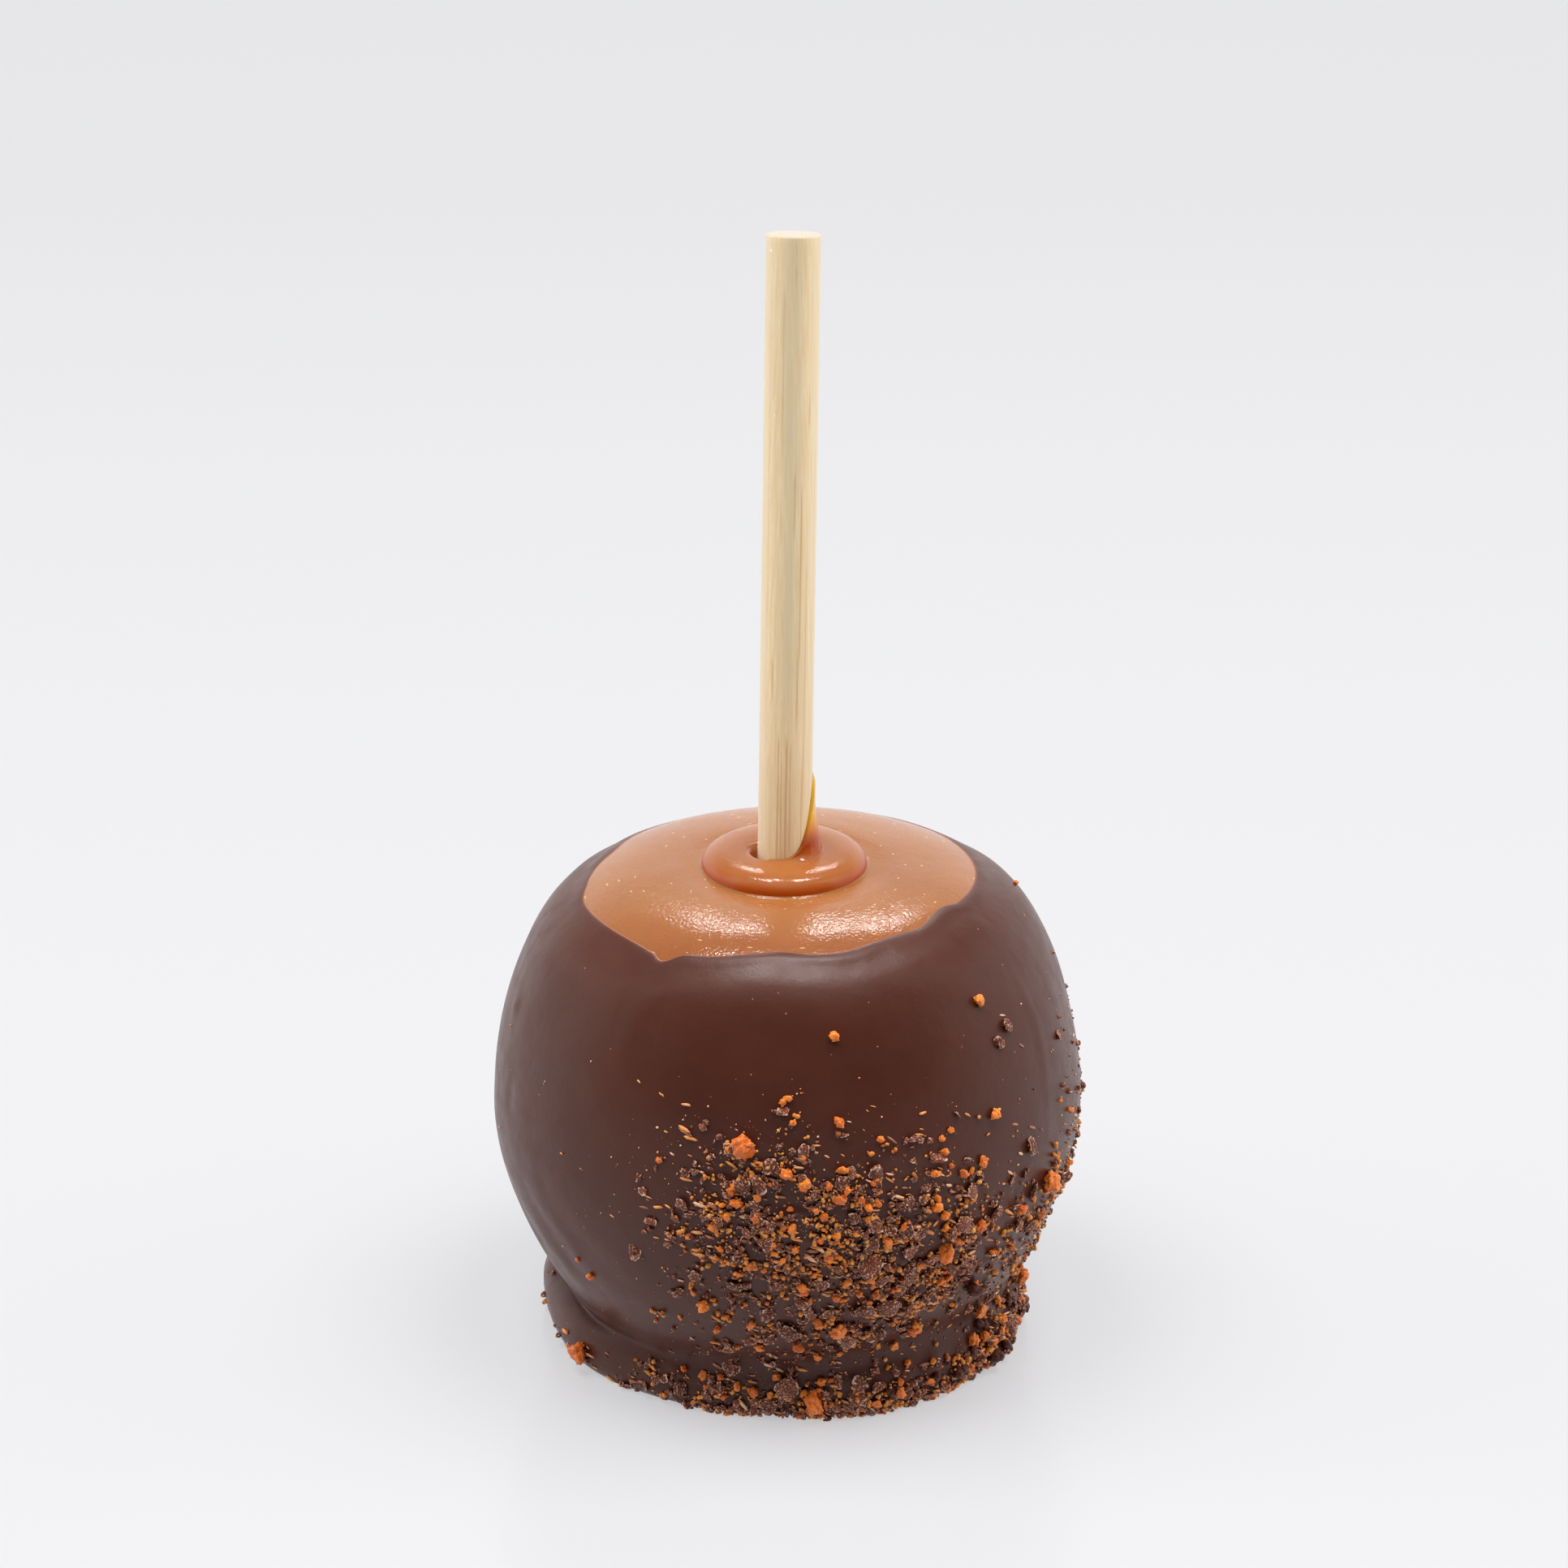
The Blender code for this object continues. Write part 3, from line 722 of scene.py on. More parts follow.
PATCHES = (  # where crumbs stuck: azimuth, height, spread left, right, down, up, and how thickly
    (-84, 32, 21, 20, 10, 9, 1.6),
    (-64, 25, 16, 15, 9, 8, 1.5),
    (-94, 42, 14, 11, 5, 5, 0.8),
    (-36, 22, 11, 24, 16, 11, 0.36),
    (-88, 15, 20, 24, 7, 6, 0.4),
    (-75, 1.5, 45, 50, 1.6, 3.3, 2.1),
    (-22, 4, 18, 45, 4, 6, 0.4),
    (20, 28, 30, 50, 16, 16, 0.2),
    (80, 4, 50, 60, 4, 5, 0.4),
    (-165, 1.5, 30, 30, 1.5, 1.5, 0.12),
)
PATCH_SHARPNESS = 2.3
STRAY_SHARE = 0.004  # how thickly single crumbs lie beyond the patches
STRAY_TOP = 56
STRAY_AZIMUTH = -50
STRAY_SPREAD = 70
CLUSTERING = 0.55
CLUSTER_SIZE = 4.5 * MM
LAYERS = 3
PACKING = 0.4  # how much of the heap's height the next crumb is lifted by
HEAP_REACH = 0.3  # how far a crumb rests on its neighbours, in its own sizes
LARGEST_CLUSTER = 8
CLUSTER_SPREAD = 0.45
COATED_GRAIN = 0.22
COATED_GRAIN_SIZE = 2.2 * MM
COATED_LUMP = 0.7
COATED_LUMP_SIZE = 5 * MM
SLIVER_STRETCH = (1.5, 0.35, 0.35)
LEVEL_SPIN = 0.35  # how far from level a sliver lies, in radians
CRUMB_SEED = 8
COATED_RIM = (-20, 4.5, 26, 4)  # azimuth, height, and how far each way the lumps go


def photo_ray(x, y):
    """The camera's place, and the direction through a pixel of the photograph."""
    forward = Vector((0, math.cos(CAMERA_ELEVATION), -math.sin(CAMERA_ELEVATION)))
    up = Vector((0, math.sin(CAMERA_ELEVATION), math.cos(CAMERA_ELEVATION)))
    focal = PIXELS_PER_MM * CAMERA_DISTANCE / MM
    direction = forward + Vector((1, 0, 0)) * ((x - PHOTO_SIZE / 2) / focal)
    direction -= up * ((y - PHOTO_SIZE / 2) / focal)
    return CAMERA_AIM - forward * CAMERA_DISTANCE, direction.normalized()


def crumb_density(points):
    """How thickly crumbs lie at each point: the sum of the patches, broken into clusters."""
    azimuth, height = around_and_up(points)
    total = STRAY_SHARE * (height < STRAY_TOP)
    total = total * bell((azimuth - STRAY_AZIMUTH) / STRAY_SPREAD)
    for middle, level, left, right, down, up, thickness in PATCHES:
        aside = (azimuth - middle + 180) % 360 - 180
        rise = height - level
        across = abs(aside) / np.where(aside < 0, left, right)
        along = abs(rise) / np.where(rise < 0, down, up)
        total = total + thickness * np.exp(-(across**PATCH_SHARPNESS) - along**PATCH_SHARPNESS)
    return total * np.exp(CLUSTERING * swell(points, CLUSTER_SIZE, 21))


class Ground:
    """The chocolate's surface as crumbs find it, and how high they already lie on it. A position
    is a row and a column of the coat's grid, with fractions."""

    def __init__(self, rings):
        self.rings = rings
        self.normals = grid_normals(rings)
        points, faces = grid_mesh(rings)
        self.tree = BVHTree.FromPolygons(points.tolist(), faces)
        down = rings[1:] - rings[:-1]
        across = np.roll(rings, -1, axis=1) - rings
        self.area = np.linalg.norm(np.cross(down, across[:-1]), axis=2)
        self.row_step = np.linalg.norm(down, axis=2).mean(axis=1)
        self.column_step = np.linalg.norm(across[:-1], axis=2).mean(axis=1)
        self.density = crumb_density(rings[:-1])
        self.heap = np.zeros(self.area.shape)

    def seen_at(self, x, y):
        """The position that a pixel of the photograph shows."""
        place = self.tree.ray_cast(*photo_ray(x, y))[0]
        if place is None:
            eye, direction = photo_ray(x, y)
            place = self.tree.find_nearest(eye + direction * CAMERA_DISTANCE)[0]
        away = ((self.rings[:-1] - np.array(place)) ** 2).sum(axis=2)
        return np.divmod(away.argmin(), self.area.shape[1])

    def scattered(self, random, count, power):
        """Random positions, thicker where the density is higher."""
        weight = (self.area * self.density**power).ravel()
        cells = random.choice(len(weight), count, p=weight / weight.sum())
        rows, around = np.divmod(cells, self.area.shape[1])
        return rows + random.uniform(size=count), around + random.uniform(size=count)

    def clustered(self, random, rows, around, members, spread):
        """Puts a few neighbours beside each position."""
        several = np.minimum(random.geometric(1 / members, len(rows)), LARGEST_CLUSTER)
        rows, around = np.repeat(rows, several), np.repeat(around, several)
        reach = spread * np.sqrt(np.repeat(several, several) - 1)
        at = rows.astype(int)
        rows = rows + random.normal(size=len(rows)) * reach / self.row_step[at]
        around = around + random.normal(size=len(rows)) * reach / self.column_step[at]
        return np.clip(rows, 0, len(self.area) - 1.01), around

    def settle(self, rows, around, sizes, thickness):
        """Lays crumbs of these sizes down one after another: where each rests, its outward
        direction and how far from the surface it lies."""
        at = rows.astype(int)
        beside = around.astype(int) % self.area.shape[1]
        lifts = np.zeros(len(rows))
        for k in range(len(rows)):
            reach = HEAP_REACH * sizes[k]
            high = max(1, round(reach / self.row_step[at[k]]))
            wide = max(1, round(reach / self.column_step[at[k]]))
            near = np.arange(max(at[k] - high, 0), min(at[k] + high + 1, len(self.area)))
            cells = np.ix_(near, np.arange(beside[k] - wide, beside[k] + wide + 1) % self.area.shape[1])
            lifts[k] = PACKING * self.heap[cells].mean()
            self.heap[cells] = np.maximum(self.heap[cells], lifts[k] + thickness * sizes[k])
        u, v = (around - np.floor(around))[:, None], (rows - at)[:, None]
        after = (beside + 1) % self.area.shape[1]
        upper = self.rings[at, beside] * (1 - u) + self.rings[at, after] * u
        lower = self.rings[at + 1, beside] * (1 - u) + self.rings[at + 1, after] * u
        return upper * (1 - v) + lower * v, self.normals[at, beside], lifts


def sphere(detail):
    """Points and triangles of a ball of radius 1."""
    bm = bmesh.new()
    bmesh.ops.create_icosphere(bm, subdivisions=detail, radius=1)
    points = np.array([v.co for v in bm.verts])
    faces = np.array([[v.index for v in f.verts] for f in bm.faces])
    bm.free()
    return points / np.linalg.norm(points, axis=1)[:, None], faces


def proud_edges(points, faces):
    """From 0 to 1, how sharply each point of a lump stands out from its neighbours."""
    around = np.zeros_like(points)
    shared = np.zeros(len(points))
    for a, b in ((0, 1), (1, 2), (2, 0), (1, 0), (2, 1), (0, 2)):
        np.add.at(around, faces[:, a], points[faces[:, b]])
        np.add.at(shared, faces[:, a], 1)
    away = points - around / shared[:, None]
    outward = points / np.linalg.norm(points, axis=1)[:, None]
    proud = (away * outward).sum(axis=1)
    return np.clip((proud - np.median(proud)) / (2.5 * proud.std()), 0, 1)


def finished_lump(points, faces):
    """A lump that reaches out to 1, with its faces and how proud its points are."""
    points = points / np.abs(points).max()
    return points, faces, proud_edges(points, faces)


def broken_lump(random, detail, facets, roughness, flatness):
    """A lump with broken faces: a ball cut back by planes, roughened and flattened."""
    points, faces = sphere(detail)
    planes = random.normal(size=(facets, 3))
    planes /= np.linalg.norm(planes, axis=1)[:, None]
    facing = points @ planes.T
    cut = np.where(facing > 0.1, random.uniform(0.45, 0.95, facets) / np.maximum(facing, 0.1), 9)
    cut = np.concatenate([cut, np.ones((len(points), 1))], axis=1)
    radius = -np.log(np.exp(-40 * cut).sum(axis=1)) / 40
    seed = int(random.integers(1 << 30))
    radius += roughness * (swell(points, 0.8, seed) + 0.7 * swell(points, 0.35, seed + 1))
    return finished_lump(points * radius[:, None] * (1, 1, flatness), faces)


def knobbly_lump(random, detail, lobes, roughness):
    """A lump of rounded grains stuck together."""
    points, faces = sphere(detail)
    centres = random.normal(size=(lobes, 3))
    centres *= random.uniform(0.3, 0.65, (lobes, 1)) / np.linalg.norm(centres, axis=1)[:, None]
    sizes = random.uniform(0.4, 0.6, lobes)
    sizes = np.maximum(sizes, np.linalg.norm(centres, axis=1) + 0.04)
    along = points @ centres.T
    inside = along**2 - (centres**2).sum(axis=1) + sizes**2
    reach = along + np.sqrt(np.maximum(inside, 0.0))
    seed = int(random.integers(1 << 30))
    radius = reach.max(axis=1) + roughness * swell(points, 0.5, seed)
    return finished_lump(points * radius[:, None], faces)


def joined(meshes):
    """One mesh of several, each with its points, its faces and numbers for each point."""
    points, faces, *numbers = zip(*meshes)
    starts = np.cumsum([0] + [len(part) for part in points[:-1]])
    faces = [part + start for part, start in zip(faces, starts)]
    return [np.concatenate(parts) for parts in (points, faces, *numbers)]


def crumb_mesh(random, shapes, settled, sizes, sink, tumble, stretch, spin_range):
    """Joins one lump for each place: turned at random, and sunk by a share of its size."""
    places, normals, lifts = settled
    count = len(places)
    kind = random.integers(len(shapes), size=count)
    spin = random.uniform(-spin_range, spin_range, count)
    up = normals + random.normal(size=(count, 3)) * tumble
    up /= np.linalg.norm(up, axis=1)[:, None]
    side = np.cross(up, (0.31, 0.17, 0.93))
    side /= np.linalg.norm(side, axis=1)[:, None]
    front = np.cross(up, side)
    x_axis = side * np.cos(spin)[:, None] + front * np.sin(spin)[:, None]
    y_axis = np.cross(up, x_axis)
    grown = random.uniform(0.75, 1.2, (count, 3)) * stretch
    tone = random.uniform(0, 1, count)
    meshes = []
    for k, (shape, triangles, proud) in enumerate(shapes):
        mine = np.flatnonzero(kind == k)
        local = shape[None] * grown[mine, None, :] * sizes[mine, None, None] / 2
        rest = lifts[mine] - local[..., 2].min(axis=1) * (1 - 2 * sink)
        world = local[..., :1] * x_axis[mine, None] + local[..., 1:2] * y_axis[mine, None]
        world = world + local[..., 2:] * up[mine, None]
        world = world + (places[mine] + normals[mine] * rest[:, None])[:, None]
        starts = len(shape) * np.arange(len(mine))
        faces = (triangles + starts[:, None, None]).reshape(-1, 3)
        tones = np.repeat(tone[mine], len(shape))
        meshes.append((world.reshape(-1, 3), faces, tones, np.tile(proud, len(mine))))
    points, *rest_of_mesh = joined(meshes)
    points[:, 2] = np.maximum(points[:, 2], LOWEST_CRUMB)
    return points, *rest_of_mesh


class Crumbs:
    """One kind of crumb: lumps in a few shapes, laid down in batches and joined to one piece."""

    def __init__(self, ground, random, shapes, sink, tumble, thickness):
        self.ground = ground
        self.random = random
        self.shapes = shapes
        self.sink = sink
        self.tumble = tumble
        self.thickness = thickness
        self.stretch = (1, 1, 1)
        self.spin_range = math.pi
        self.batches = []

    def lay(self, rows, around, sizes, shapes=None):
        settled = self.ground.settle(rows, around, sizes, self.thickness)
        shapes = shapes or self.shapes
        pose = (self.sink, self.tumble, self.stretch, self.spin_range)
        self.batches.append(crumb_mesh(self.random, shapes, settled, sizes, *pose))

    def strew(self, count, smallest, largest, power=1.0, members=1.0):
        """Strews crumbs at random, more of them small than large, singly or in clusters."""
        rows, around = self.ground.scattered(self.random, count, power)
        if members > 1:
            spread = CLUSTER_SPREAD * (smallest + largest) / 2 * MM
            rows, around = self.ground.clustered(self.random, rows, around, members, spread)
        spans = self.random.uniform(size=len(rows)) ** 2
        self.lay(rows, around, (smallest + (largest - smallest) * spans) * MM)

    def lay_seen(self, seen, shapes=None):
        """Lays crumbs at pixels of the photograph."""
        positions = np.array([self.ground.seen_at(x, y) for x, y, _ in seen], float)
        sizes = np.array([width for _, _, width in seen]) * MM
        self.lay(positions[:, 0], positions[:, 1], sizes, shapes)

    def finish(self, name, slot, material, faceted=False):
        points, faces, tones, edges = joined(self.batches)
        obj = add_piece(name, points, faces.tolist(), material)
        store(obj, "tone", tones)
        # edge: how proud each point stands, which the crumb materials paint pale as a highlight
        store(obj, "edge", edges)
        if faceted:
            obj.data.shade_flat()


CRUMB_KINDS = {  # maker, how many shapes, its settings, share sunk, tumble, thickness in the heap
    "toffee_nuggets": (broken_lump, 14, (3, 9, 0.09, 0.8), 0.2, 0.5, 0.5),
    "toffee_grains": (knobbly_lump, 16, (2, 2, 0.03), 0.22, 0.7, 0.6),
    "chocolate_chips": (broken_lump, 14, (3, 7, 0.05, 0.4), 0.2, 0.4, 0.3),
    "chocolate_bits": (broken_lump, 16, (2, 6, 0.10, 0.65), 0.25, 0.7, 0.5),
    "chocolate_slivers": (broken_lump, 8, (1, 3, 0.05, 0.8), 0.35, 0.3, 0.1),
    "toffee_dust": (broken_lump, 8, (1, 3, 0.08, 0.9), 0.3, 0.6, 0.1),
    "coated_lumps": (knobbly_lump, 6, (4, 5, 0.05), 0.35, 0.4, 0.5),
}
LARGE_NUGGETS = (broken_lump, 6, (4, 11, 0.08, 0.8))
LARGE_CHIPS = (broken_lump, 6, (4, 8, 0.06, 0.45))
STREWN_FIRST = (  # kind, how many, smallest, largest, how much they gather, and cluster members
    ("chocolate_bits", 620, 0.4, 1.5),
    ("toffee_grains", 225, 0.5, 1.15, 1.15, 2.5),
    ("chocolate_chips", 85, 1.0, 2.6, 1.2),
    ("toffee_nuggets", 70, 0.8, 1.8, 1.1),
)
STREWN_LAST = (("chocolate_slivers", 900, 0.5, 1.6, 0.7), ("toffee_dust", 4000, 0.1, 0.36, 0.6))


def make_crumbs(outer, chocolate):
    ground = Ground(outer)
    random = np.random.default_rng(CRUMB_SEED)

    def lumps(make, count, settings):
        return [make(random, *settings) for _ in range(count)]

    crumbs = {
        name: Crumbs(ground, random, lumps(make, count, settings), *pose)
        for name, (make, count, settings, *pose) in CRUMB_KINDS.items()
    }
    crumbs["chocolate_slivers"].stretch = SLIVER_STRETCH
    crumbs["chocolate_slivers"].spin_range = LEVEL_SPIN
    crumbs["coated_lumps"].lay_seen(COATED_LUMPS)
    for name, *settings in STREWN_FIRST * LAYERS:
        crumbs[name].strew(*settings)
    crumbs["toffee_nuggets"].lay_seen(SMALL_NUGGETS)
    crumbs["toffee_nuggets"].lay_seen(NUGGETS, lumps(*LARGE_NUGGETS))
    crumbs["chocolate_chips"].lay_seen(SMALL_CHIPS)
    crumbs["chocolate_chips"].lay_seen(CHIPS, lumps(*LARGE_CHIPS))
    for name, *settings in STREWN_LAST:
        crumbs[name].strew(*settings)
    chip = chip_material()
    dust = dust_material()
    for name, slot, material in (
        ("toffee_nuggets", "toffee", toffee_material("toffee_nugget", *NUGGET_COLORS)),
        ("toffee_grains", "toffee", toffee_material("toffee_bead", *BEAD_COLORS)),
        ("chocolate_chips", "chocolate", chip),
        ("chocolate_bits", "chocolate", chip),
        ("chocolate_slivers", "chocolate", dust),
        ("toffee_dust", "toffee", dust),
        ("coated_lumps", "chocolate", chocolate),
    ):
        crumbs[name].finish(name, slot, material, faceted=material is chip)


# ---- materials

FLECK_RADIUS = 18 * MM
FLECK_STRETCH = 2.2
# The third colour of each set is the pale of the painted highlights on the crumbs' edges.
NUGGET_COLORS = (0.72, 0.14, 0.012), (0.98, 0.28, 0.036), (1.0, 0.50, 0.19)  # dark, light, pale
BEAD_COLORS = (0.58, 0.155, 0.016), (0.90, 0.35, 0.052), (1.0, 0.58, 0.22)


class Nodes:
    """A tree of nodes, with short names for those used here."""

    def __init__(self, tree):
        self.tree = tree

    def node(self, kind, inputs=(), **settings):
        made = self.tree.nodes.new(kind)
        for setting, value in settings.items():
            setattr(made, setting, value)
        for socket, value in dict(inputs).items():
            self.put(made.inputs[socket], value)
        return made

    def put(self, socket, value):
        """Links a socket to another node's output, or sets its value."""
        if isinstance(value, bpy.types.NodeSocket):
            self.tree.links.new(value, socket)
        else:
            socket.default_value = value

    def math(self, operation, a, b=0.0):
        return self.node("ShaderNodeMath", {0: a, 1: b}, operation=operation).outputs[0]

    def span(self, value, low, high, bottom=0.0, top=1.0, **settings):
        """A value's place between low and high, brought to between bottom and top."""
        inputs = {"Value": value, "From Min": low, "From Max": high, "To Min": bottom, "To Max": top}
        return self.node("ShaderNodeMapRange", inputs, **settings).outputs["Result"]


class Paint(Nodes):
    """A procedural material, whose colour starts plain and is tinted by one pattern after another."""

    def __init__(self, name, color, roughness, **sockets):
        self.material = bpy.data.materials.new(name)
        self.material.use_nodes = True
        super().__init__(self.material.node_tree)
        self.color = color
        self.shader = self.tree.nodes["Principled BSDF"].inputs
        self.shader["Roughness"].default_value = roughness
        for socket, value in sockets.items():
            self.shader[socket.replace("_", " ")].default_value = value

    def place(self):
        return self.node("ShaderNodeTexCoord").outputs["Object"]

    def stretched(self, scale):
        """The place, with patterns drawn out along Z."""
        inputs = {"Vector": self.place(), "Scale": (1, 1, scale)}
        return self.node("ShaderNodeMapping", inputs).outputs["Vector"]

    def parts(self, vector):
        """The X, Y and Z of a vector."""
        return self.node("ShaderNodeSeparateXYZ", {"Vector": vector}).outputs

    def facing(self):
        """The X, Y and Z of the direction that the surface faces."""
        return self.parts(self.node("ShaderNodeNewGeometry").outputs["Normal"])

    def stored(self, name):
        return self.node("ShaderNodeAttribute", attribute_name=name).outputs["Fac"]

    def noise(self, size, detail=2.0, vector=None):
        """Noise with features of about a size in metres."""
        inputs = {"Scale": 1 / size, "Detail": detail, "Vector": vector or self.place()}
        return self.node("ShaderNodeTexNoise", inputs).outputs["Fac"]

    def specks(self, spacing, share, radius, vector=None):
        """1 in round specks and 0 elsewhere: a share of the cells of a pattern holds a speck."""
        inputs = {"Scale": 1 / spacing, "Vector": vector or self.place()}
        kind = "2D" if vector else "3D"
        cells = self.node("ShaderNodeTexVoronoi", inputs, voronoi_dimensions=kind).outputs
        near = self.span(cells["Distance"], radius / spacing, 0.4 * radius / spacing)
        chosen = self.node("ShaderNodeSeparateColor", {"Color": cells["Color"]}).outputs["Red"]
        return self.math("MULTIPLY", near, self.math("LESS_THAN", chosen, share))

    def tint(self, share, color):
        """Mixes a share of another colour into the material's own."""
        made = self.node("ShaderNodeMix", data_type="RGBA")
        for socket, value in ((0, share), (6, self.color), (7, color)):
            self.put(made.inputs[socket], (*value, 1.0) if isinstance(value, tuple) else value)
        self.color = made.outputs[2]

    def bump(self, height, distance, below=None):
        inputs = {"Height": height, "Distance": distance}
        if below:
            inputs["Normal"] = below
        return self.node("ShaderNodeBump", inputs).outputs["Normal"]

    def relief(self, *layers):
        """Layers of bumps, the finest first: each one's size, detail and height."""
        normal = None
        for size, detail, height in layers:
            normal = self.bump(self.noise(size, detail), height, normal)
        return normal

    def finished(self, **sockets):
        """Links the colour and other patterns to the shader, and gives the material."""
        for socket, value in {"Base_Color": self.color, **sockets}.items():
            self.put(self.shader[socket.replace("_", " ")], value)
        return self.material


def chocolate_material():
    looks = Paint("set_chocolate", (0.071, 0.0184, 0.0102), 0.34, IOR=1.38)
    looks.tint(looks.span(looks.noise(16 * MM, 3.0), 0.35, 0.65), (0.081, 0.0216, 0.0121))
    looks.tint(looks.specks(2.6 * MM, 0.9, 0.12 * MM), (0.50, 0.28, 0.19))
    looks.tint(looks.specks(4.5 * MM, 0.2, 0.3 * MM), (0.20, 0.055, 0.025))
    looks.tint(looks.stored("thin"), (0.80, 0.24, 0.10))
    roughness = looks.span(looks.noise(3 * MM, 3.0), 0.3, 0.7, 0.31, 0.41)
    normal = looks.relief((0.38 * MM, 2.0, 0.016 * MM), (4 * MM, 2.0, 0.10 * MM))
    return looks.finished(Roughness=roughness, Normal=normal)


def caramel_material():
    """Caramel: clouded, with golden flecks drawn out round the stick, a deeper and more golden colour
    in the line round the ring as a painted reflection, and painted shade darkening it to the front."""
    looks = Paint(
        "soft_caramel", (0.345, 0.130, 0.041), 0.14, IOR=1.47,
        Subsurface_Weight=0.7, Subsurface_Radius=(1.0, 0.35, 0.12), Subsurface_Scale=1.5 * MM,
    )
    looks.tint(looks.span(looks.noise(9 * MM), 0.3, 0.7), (0.37, 0.147, 0.050))
    # Painted reflection: the sunk line round the ring is tinted deeper and more golden, standing in for
    # the ring's reflection.
    looks.tint(looks.math("MULTIPLY", looks.stored("moat"), 0.5), (0.38, 0.125, 0.020))
    place = looks.parts(looks.place())
    # Painted shade: darker toward the front, where the caramel faces the dark side of the room.
    looks.tint(looks.span(place["Y"], -12 * MM, -25 * MM, 0.0, 0.9), (0.30, 0.095, 0.031))
    turned = looks.math("ARCTAN2", place["X"], looks.math("MULTIPLY", place["Y"], -1.0))
    around = looks.math("MULTIPLY", turned, FLECK_RADIUS / FLECK_STRETCH)
    level = looks.node("ShaderNodeCombineXYZ", {"X": place["X"], "Y": place["Y"]}).outputs["Vector"]
    radius = looks.node("ShaderNodeVectorMath", {0: level}, operation="LENGTH").outputs["Value"]
    flat = looks.node("ShaderNodeCombineXYZ", {"X": around, "Y": radius}).outputs["Vector"]
    looks.tint(looks.specks(2.1 * MM, 0.4, 0.16 * MM, flat), (0.66, 0.38, 0.13))
    return looks.finished(Normal=looks.relief((0.45 * MM, 1.0, 0.050 * MM), (2.5 * MM, 2.0, 0.012 * MM)))


def pool_material():
    """Clear caramel: deep orange on steep sides, paler on top as a painted reflection of the bright room
    above, and golden where it is thin, partly its own colour and partly painted light shining through.
    """
    looks = Paint(
        "pool_caramel", (0.39, 0.060, 0.001), 0.11, IOR=1.48,
        Subsurface_Weight=0.8, Subsurface_Radius=(1.0, 0.30, 0.08), Subsurface_Scale=1.4 * MM,
    )
    # Painted reflection: paler where the surface faces up, as the bright room above would reflect there.
    looks.tint(looks.span(looks.facing()["Z"], 0.35, 0.88), (0.38, 0.126, 0.031))
    # Golden where the web is thin: partly the thin caramel's own colour, partly painted light shining
    # through it.
    looks.tint(looks.stored("climb"), (0.95, 0.42, 0.035))
    return looks.finished(Normal=looks.relief((0.3 * MM, 1.0, 0.030 * MM), (2.2 * MM, 2.0, 0.025 * MM)))


def bamboo_material():
    """Bamboo: fibres, short dashes and dark lines along it, a weathered band in front, sides painted
    paler as a painted sheen, and a greyer end."""
    looks = Paint("bare_bamboo", (0.87, 0.63, 0.335), 0.55, IOR=1.45)
    grain = looks.stretched(0.02)
    fibre = looks.noise(0.28 * MM, 4.0, grain)
    looks.tint(looks.span(fibre, 0.35, 0.65), (0.98, 0.80, 0.51))
    dashes = looks.noise(0.2 * MM, 2.0, looks.stretched(0.12))
    looks.tint(looks.span(dashes, 0.55, 0.7, 0, 0.35), (0.76, 0.56, 0.31))
    looks.tint(looks.span(looks.noise(1.6 * MM, 3.0, grain), 0.35, 0.75, 0, 0.6), (0.83, 0.64, 0.40))
    looks.tint(looks.span(fibre, 0.68, 0.76, 0, 0.5), (0.42, 0.24, 0.09))
    mottled = looks.span(looks.noise(0.8 * MM, 4.0, grain), 0.35, 0.65, 0.3, 1.0)
    looks.tint(looks.math("MULTIPLY", looks.stored("weathered"), mottled), (0.80, 0.65, 0.41))
    looks.tint(looks.stored("mark"), (0.60, 0.26, 0.07))
    facing = looks.facing()
    # Painted sheen: the sides that face left and right are tinted paler.
    side = looks.span(looks.math("ABSOLUTE", facing["X"]), 0.6, 0.95, 0, 0.6)
    looks.tint(side, (0.76, 0.66, 0.50))
    looks.tint(looks.span(facing["Z"], 0.3, 0.9), (0.50, 0.43, 0.36))
    return looks.finished(Normal=looks.bump(fibre, 0.03 * MM))


def toffee_material(name, dark, light, pale):
    """Toffee, from dark to light by the crumb's own tone, with painted highlights on its edges."""
    looks = Paint(
        name, dark, 0.34, IOR=1.5,
        Subsurface_Weight=0.35, Subsurface_Radius=(1.0, 0.35, 0.1), Subsurface_Scale=0.5 * MM,
    )
    looks.tint(looks.stored("tone"), light)
    looks.tint(looks.span(looks.noise(0.6 * MM, 3.0), 0.48, 0.72, 0, 0.5), (0.42, 0.070, 0.008))
    # Painted highlight: the proudest edges of each crumb are tinted pale.
    looks.tint(looks.span(looks.stored("edge"), 0.2, 0.8, 0, 0.5), pale)
    return looks.finished(Normal=looks.relief((0.22 * MM, 3.0, 0.07 * MM)))


def chip_material():
    """Broken chocolate: its own tone, frosted in places, with painted highlights on its edges."""
    looks = Paint("chocolate_crumb", (0.10, 0.024, 0.012), 0.42, IOR=1.3)
    looks.tint(looks.stored("tone"), (0.22, 0.065, 0.034))
    looks.tint(looks.span(looks.noise(0.26 * MM, 3.0), 0.54, 0.64, 0, 0.7), (0.62, 0.32, 0.21))
    # Painted highlight: the proudest edges of each crumb are tinted pale.
    looks.tint(looks.span(looks.stored("edge"), 0.25, 0.6, 0, 0.9), (0.80, 0.49, 0.37))
    return looks.finished(Normal=looks.relief((0.2 * MM, 3.0, 0.06 * MM)))


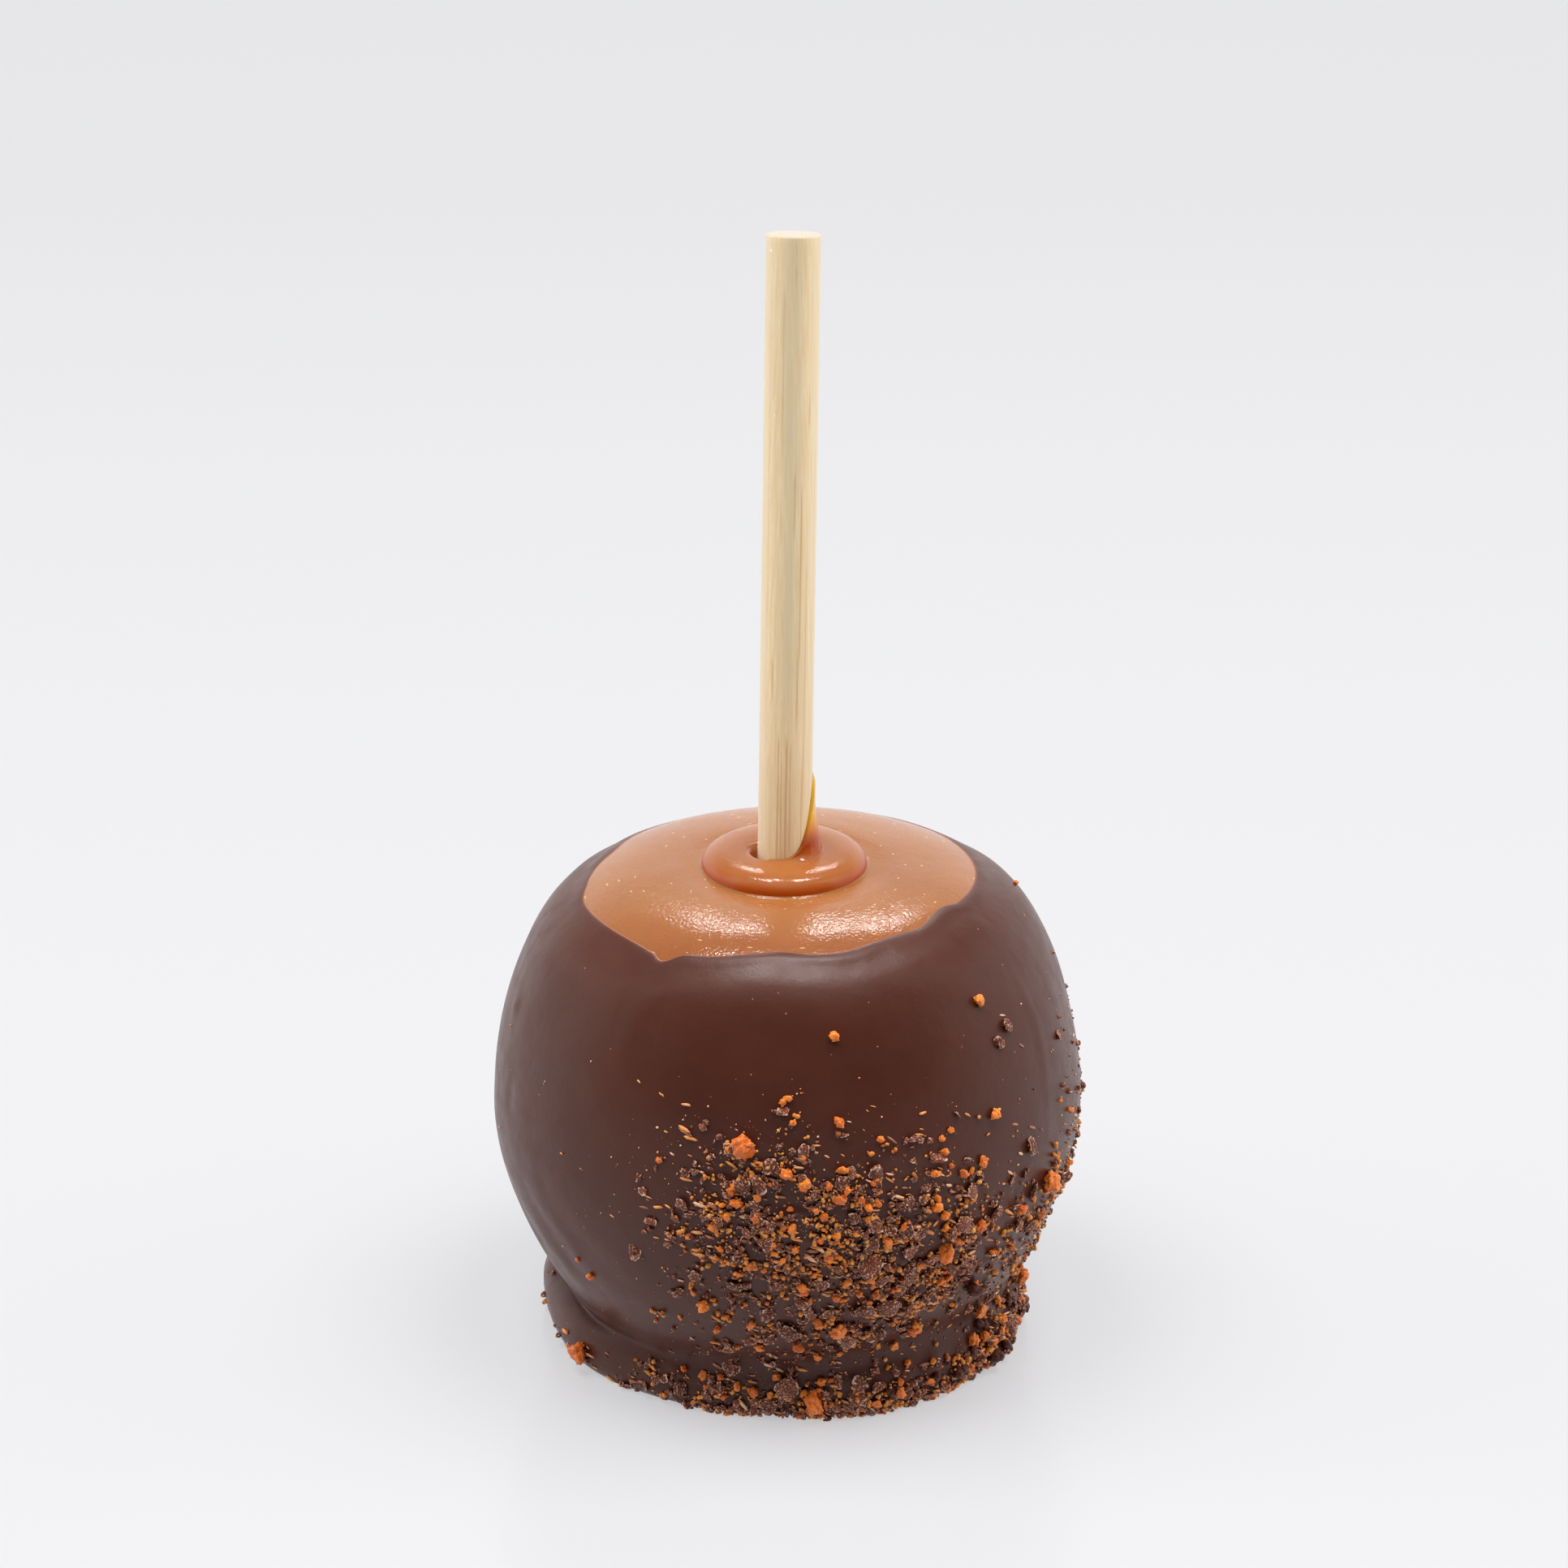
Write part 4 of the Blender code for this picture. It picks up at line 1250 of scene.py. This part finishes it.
def dust_material():
    """Dust of both kinds: brown, orange or pale by the crumb's own tone."""
    looks = Paint("crumb_dust", (0.40, 0.16, 0.09), 0.55, IOR=1.5)
    tone = looks.stored("tone")
    looks.tint(looks.span(tone, 0.2, 0.5), (0.90, 0.34, 0.09))
    looks.tint(looks.span(tone, 0.7, 0.95), (0.90, 0.56, 0.36))
    return looks.finished()


def floor_material():
    """A white floor that glows, less so far behind the apple and close in front."""
    glow = (0.975, 0.975, 1.0, 1.0)
    looks = Paint("white_floor", (0.245, 0.245, 0.25), 0.22, IOR=1.3, Emission_Color=glow)
    looks.tint(looks.noise(400 * MM, 1.0), (0.255, 0.255, 0.26))
    back = looks.parts(looks.place())["Y"]
    behind = looks.span(back, -100 * MM, 500 * MM, 0.49, 0.395)
    in_front = looks.span(back, -450 * MM, -110 * MM, 0.6, 1.0)
    return looks.finished(Emission_Strength=looks.math("MULTIPLY", behind, in_front))


# ---- the studio


def add_camera():
    data = bpy.data.cameras.new("photo_camera")
    data.sensor_width = SENSOR_WIDTH
    data.lens = SENSOR_WIDTH * PIXELS_PER_MM * CAMERA_DISTANCE / MM / PHOTO_SIZE
    camera = new_object("photo_camera", data)
    camera.location = photo_ray(PHOTO_SIZE / 2, PHOTO_SIZE / 2)[0]
    camera.rotation_euler = (math.pi / 2 - CAMERA_ELEVATION, 0, 0)
    bpy.context.scene.camera = camera


def add_floor():
    corners = [(x * FLOOR_REACH, y * FLOOR_REACH, 0) for x, y in ((-1, -1), (1, -1), (1, 1), (-1, 1))]
    mesh = bpy.data.meshes.new("floor")
    mesh.from_pydata(corners, [], [(0, 1, 2, 3)])
    mesh.materials.append(floor_material())
    new_object("floor", mesh)


def add_panel(name, elevation, azimuth, width, height, power, unseen_by):
    """A soft rectangular light, aimed at the apple, that leaves out highlights ("glossy") or all
    but highlights ("diffuse"). Azimuth 0 is behind the apple."""
    data = bpy.data.lights.new(name, "AREA")
    data.shape = "RECTANGLE"
    data.size = width
    data.size_y = height
    data.energy = power
    panel = new_object(name, data)
    elevation, azimuth = math.radians(elevation), math.radians(azimuth)
    level = math.cos(elevation)
    toward = Vector((level * math.sin(azimuth), level * math.cos(azimuth), math.sin(elevation)))
    panel.location = LIT_POINT + toward * PANEL_DISTANCE
    panel.rotation_euler = (-toward).to_track_quat("-Z", "Y").to_euler()
    setattr(panel, f"visible_{unseen_by}", False)
    return panel


def add_stick_spot(azimuth):
    """A narrow light on the bare stick alone, from one side of the front."""
    spot = add_panel("stick_spot", 0, azimuth, SPOT_WIDTH, SPOT_HEIGHT, SPOT_POWER, "glossy")
    spot.location.z = SPOT_LEVEL
    spot.data.spread = SPOT_SPREAD


def add_surroundings():
    """A room of soft light: bright behind and at the sides, dark in front, lit from above."""
    world = bpy.data.worlds.new("surroundings")
    bpy.context.scene.world = world
    world.use_nodes = True
    nodes = Nodes(world.node_tree)

    def past(angle, edge):
        """0 before an edge and 1 past it, with a soft step between."""
        low, high = edge - SOFT_EDGE, edge + SOFT_EDGE
        return nodes.span(angle, low, high, interpolation_type="SMOOTHSTEP")

    def between(angle, low, high):
        started = past(angle, low) if low > 0 else 1.0
        return nodes.math("MULTIPLY", started, nodes.math("SUBTRACT", 1.0, past(angle, high)))

    toward = nodes.node("ShaderNodeTexCoord").outputs["Generated"]
    x, y, z = nodes.node("ShaderNodeSeparateXYZ", {"Vector": toward}).outputs
    azimuth = nodes.math("ABSOLUTE", nodes.math("DEGREES", nodes.math("ARCTAN2", x, y)))
    elevation = nodes.math("DEGREES", nodes.math("ARCSINE", z))
    total = AMBIENT
    for left, right, low, high, strength in SURROUNDINGS:
        patch = nodes.math("MULTIPLY", between(azimuth, left, right), between(elevation, low, high))
        total = nodes.math("ADD", total, nodes.math("MULTIPLY", patch, strength))
    background = world.node_tree.nodes["Background"].inputs
    nodes.put(background["Strength"], total)
    background["Color"].default_value = (1.0, 1.0, 1.0, 1.0)


def add_lights():
    for name, strip in zip(("back_strip", "top_strip"), STRIPS):
        add_panel(name, *strip, "diffuse")
    for elevation, azimuth, power in SIDE_PANELS:
        for side in (-1, 1):
            add_panel("side_panel", elevation, side * azimuth, *SIDE_PANEL_SIZE, power, "glossy")
    for side in (-1, 1):
        add_stick_spot(side * SPOT_AZIMUTH)


def main():
    bpy.context.scene.view_settings.view_transform = "Standard"
    add_camera()
    add_surroundings()
    add_lights()
    add_floor()
    chocolate = chocolate_material()
    outer = make_coat(chocolate)
    make_caramel(caramel_material())
    make_ring(pool_material())
    make_stick(bamboo_material())
    make_crumbs(outer, chocolate)


main()
bpy.context.view_layer.update()
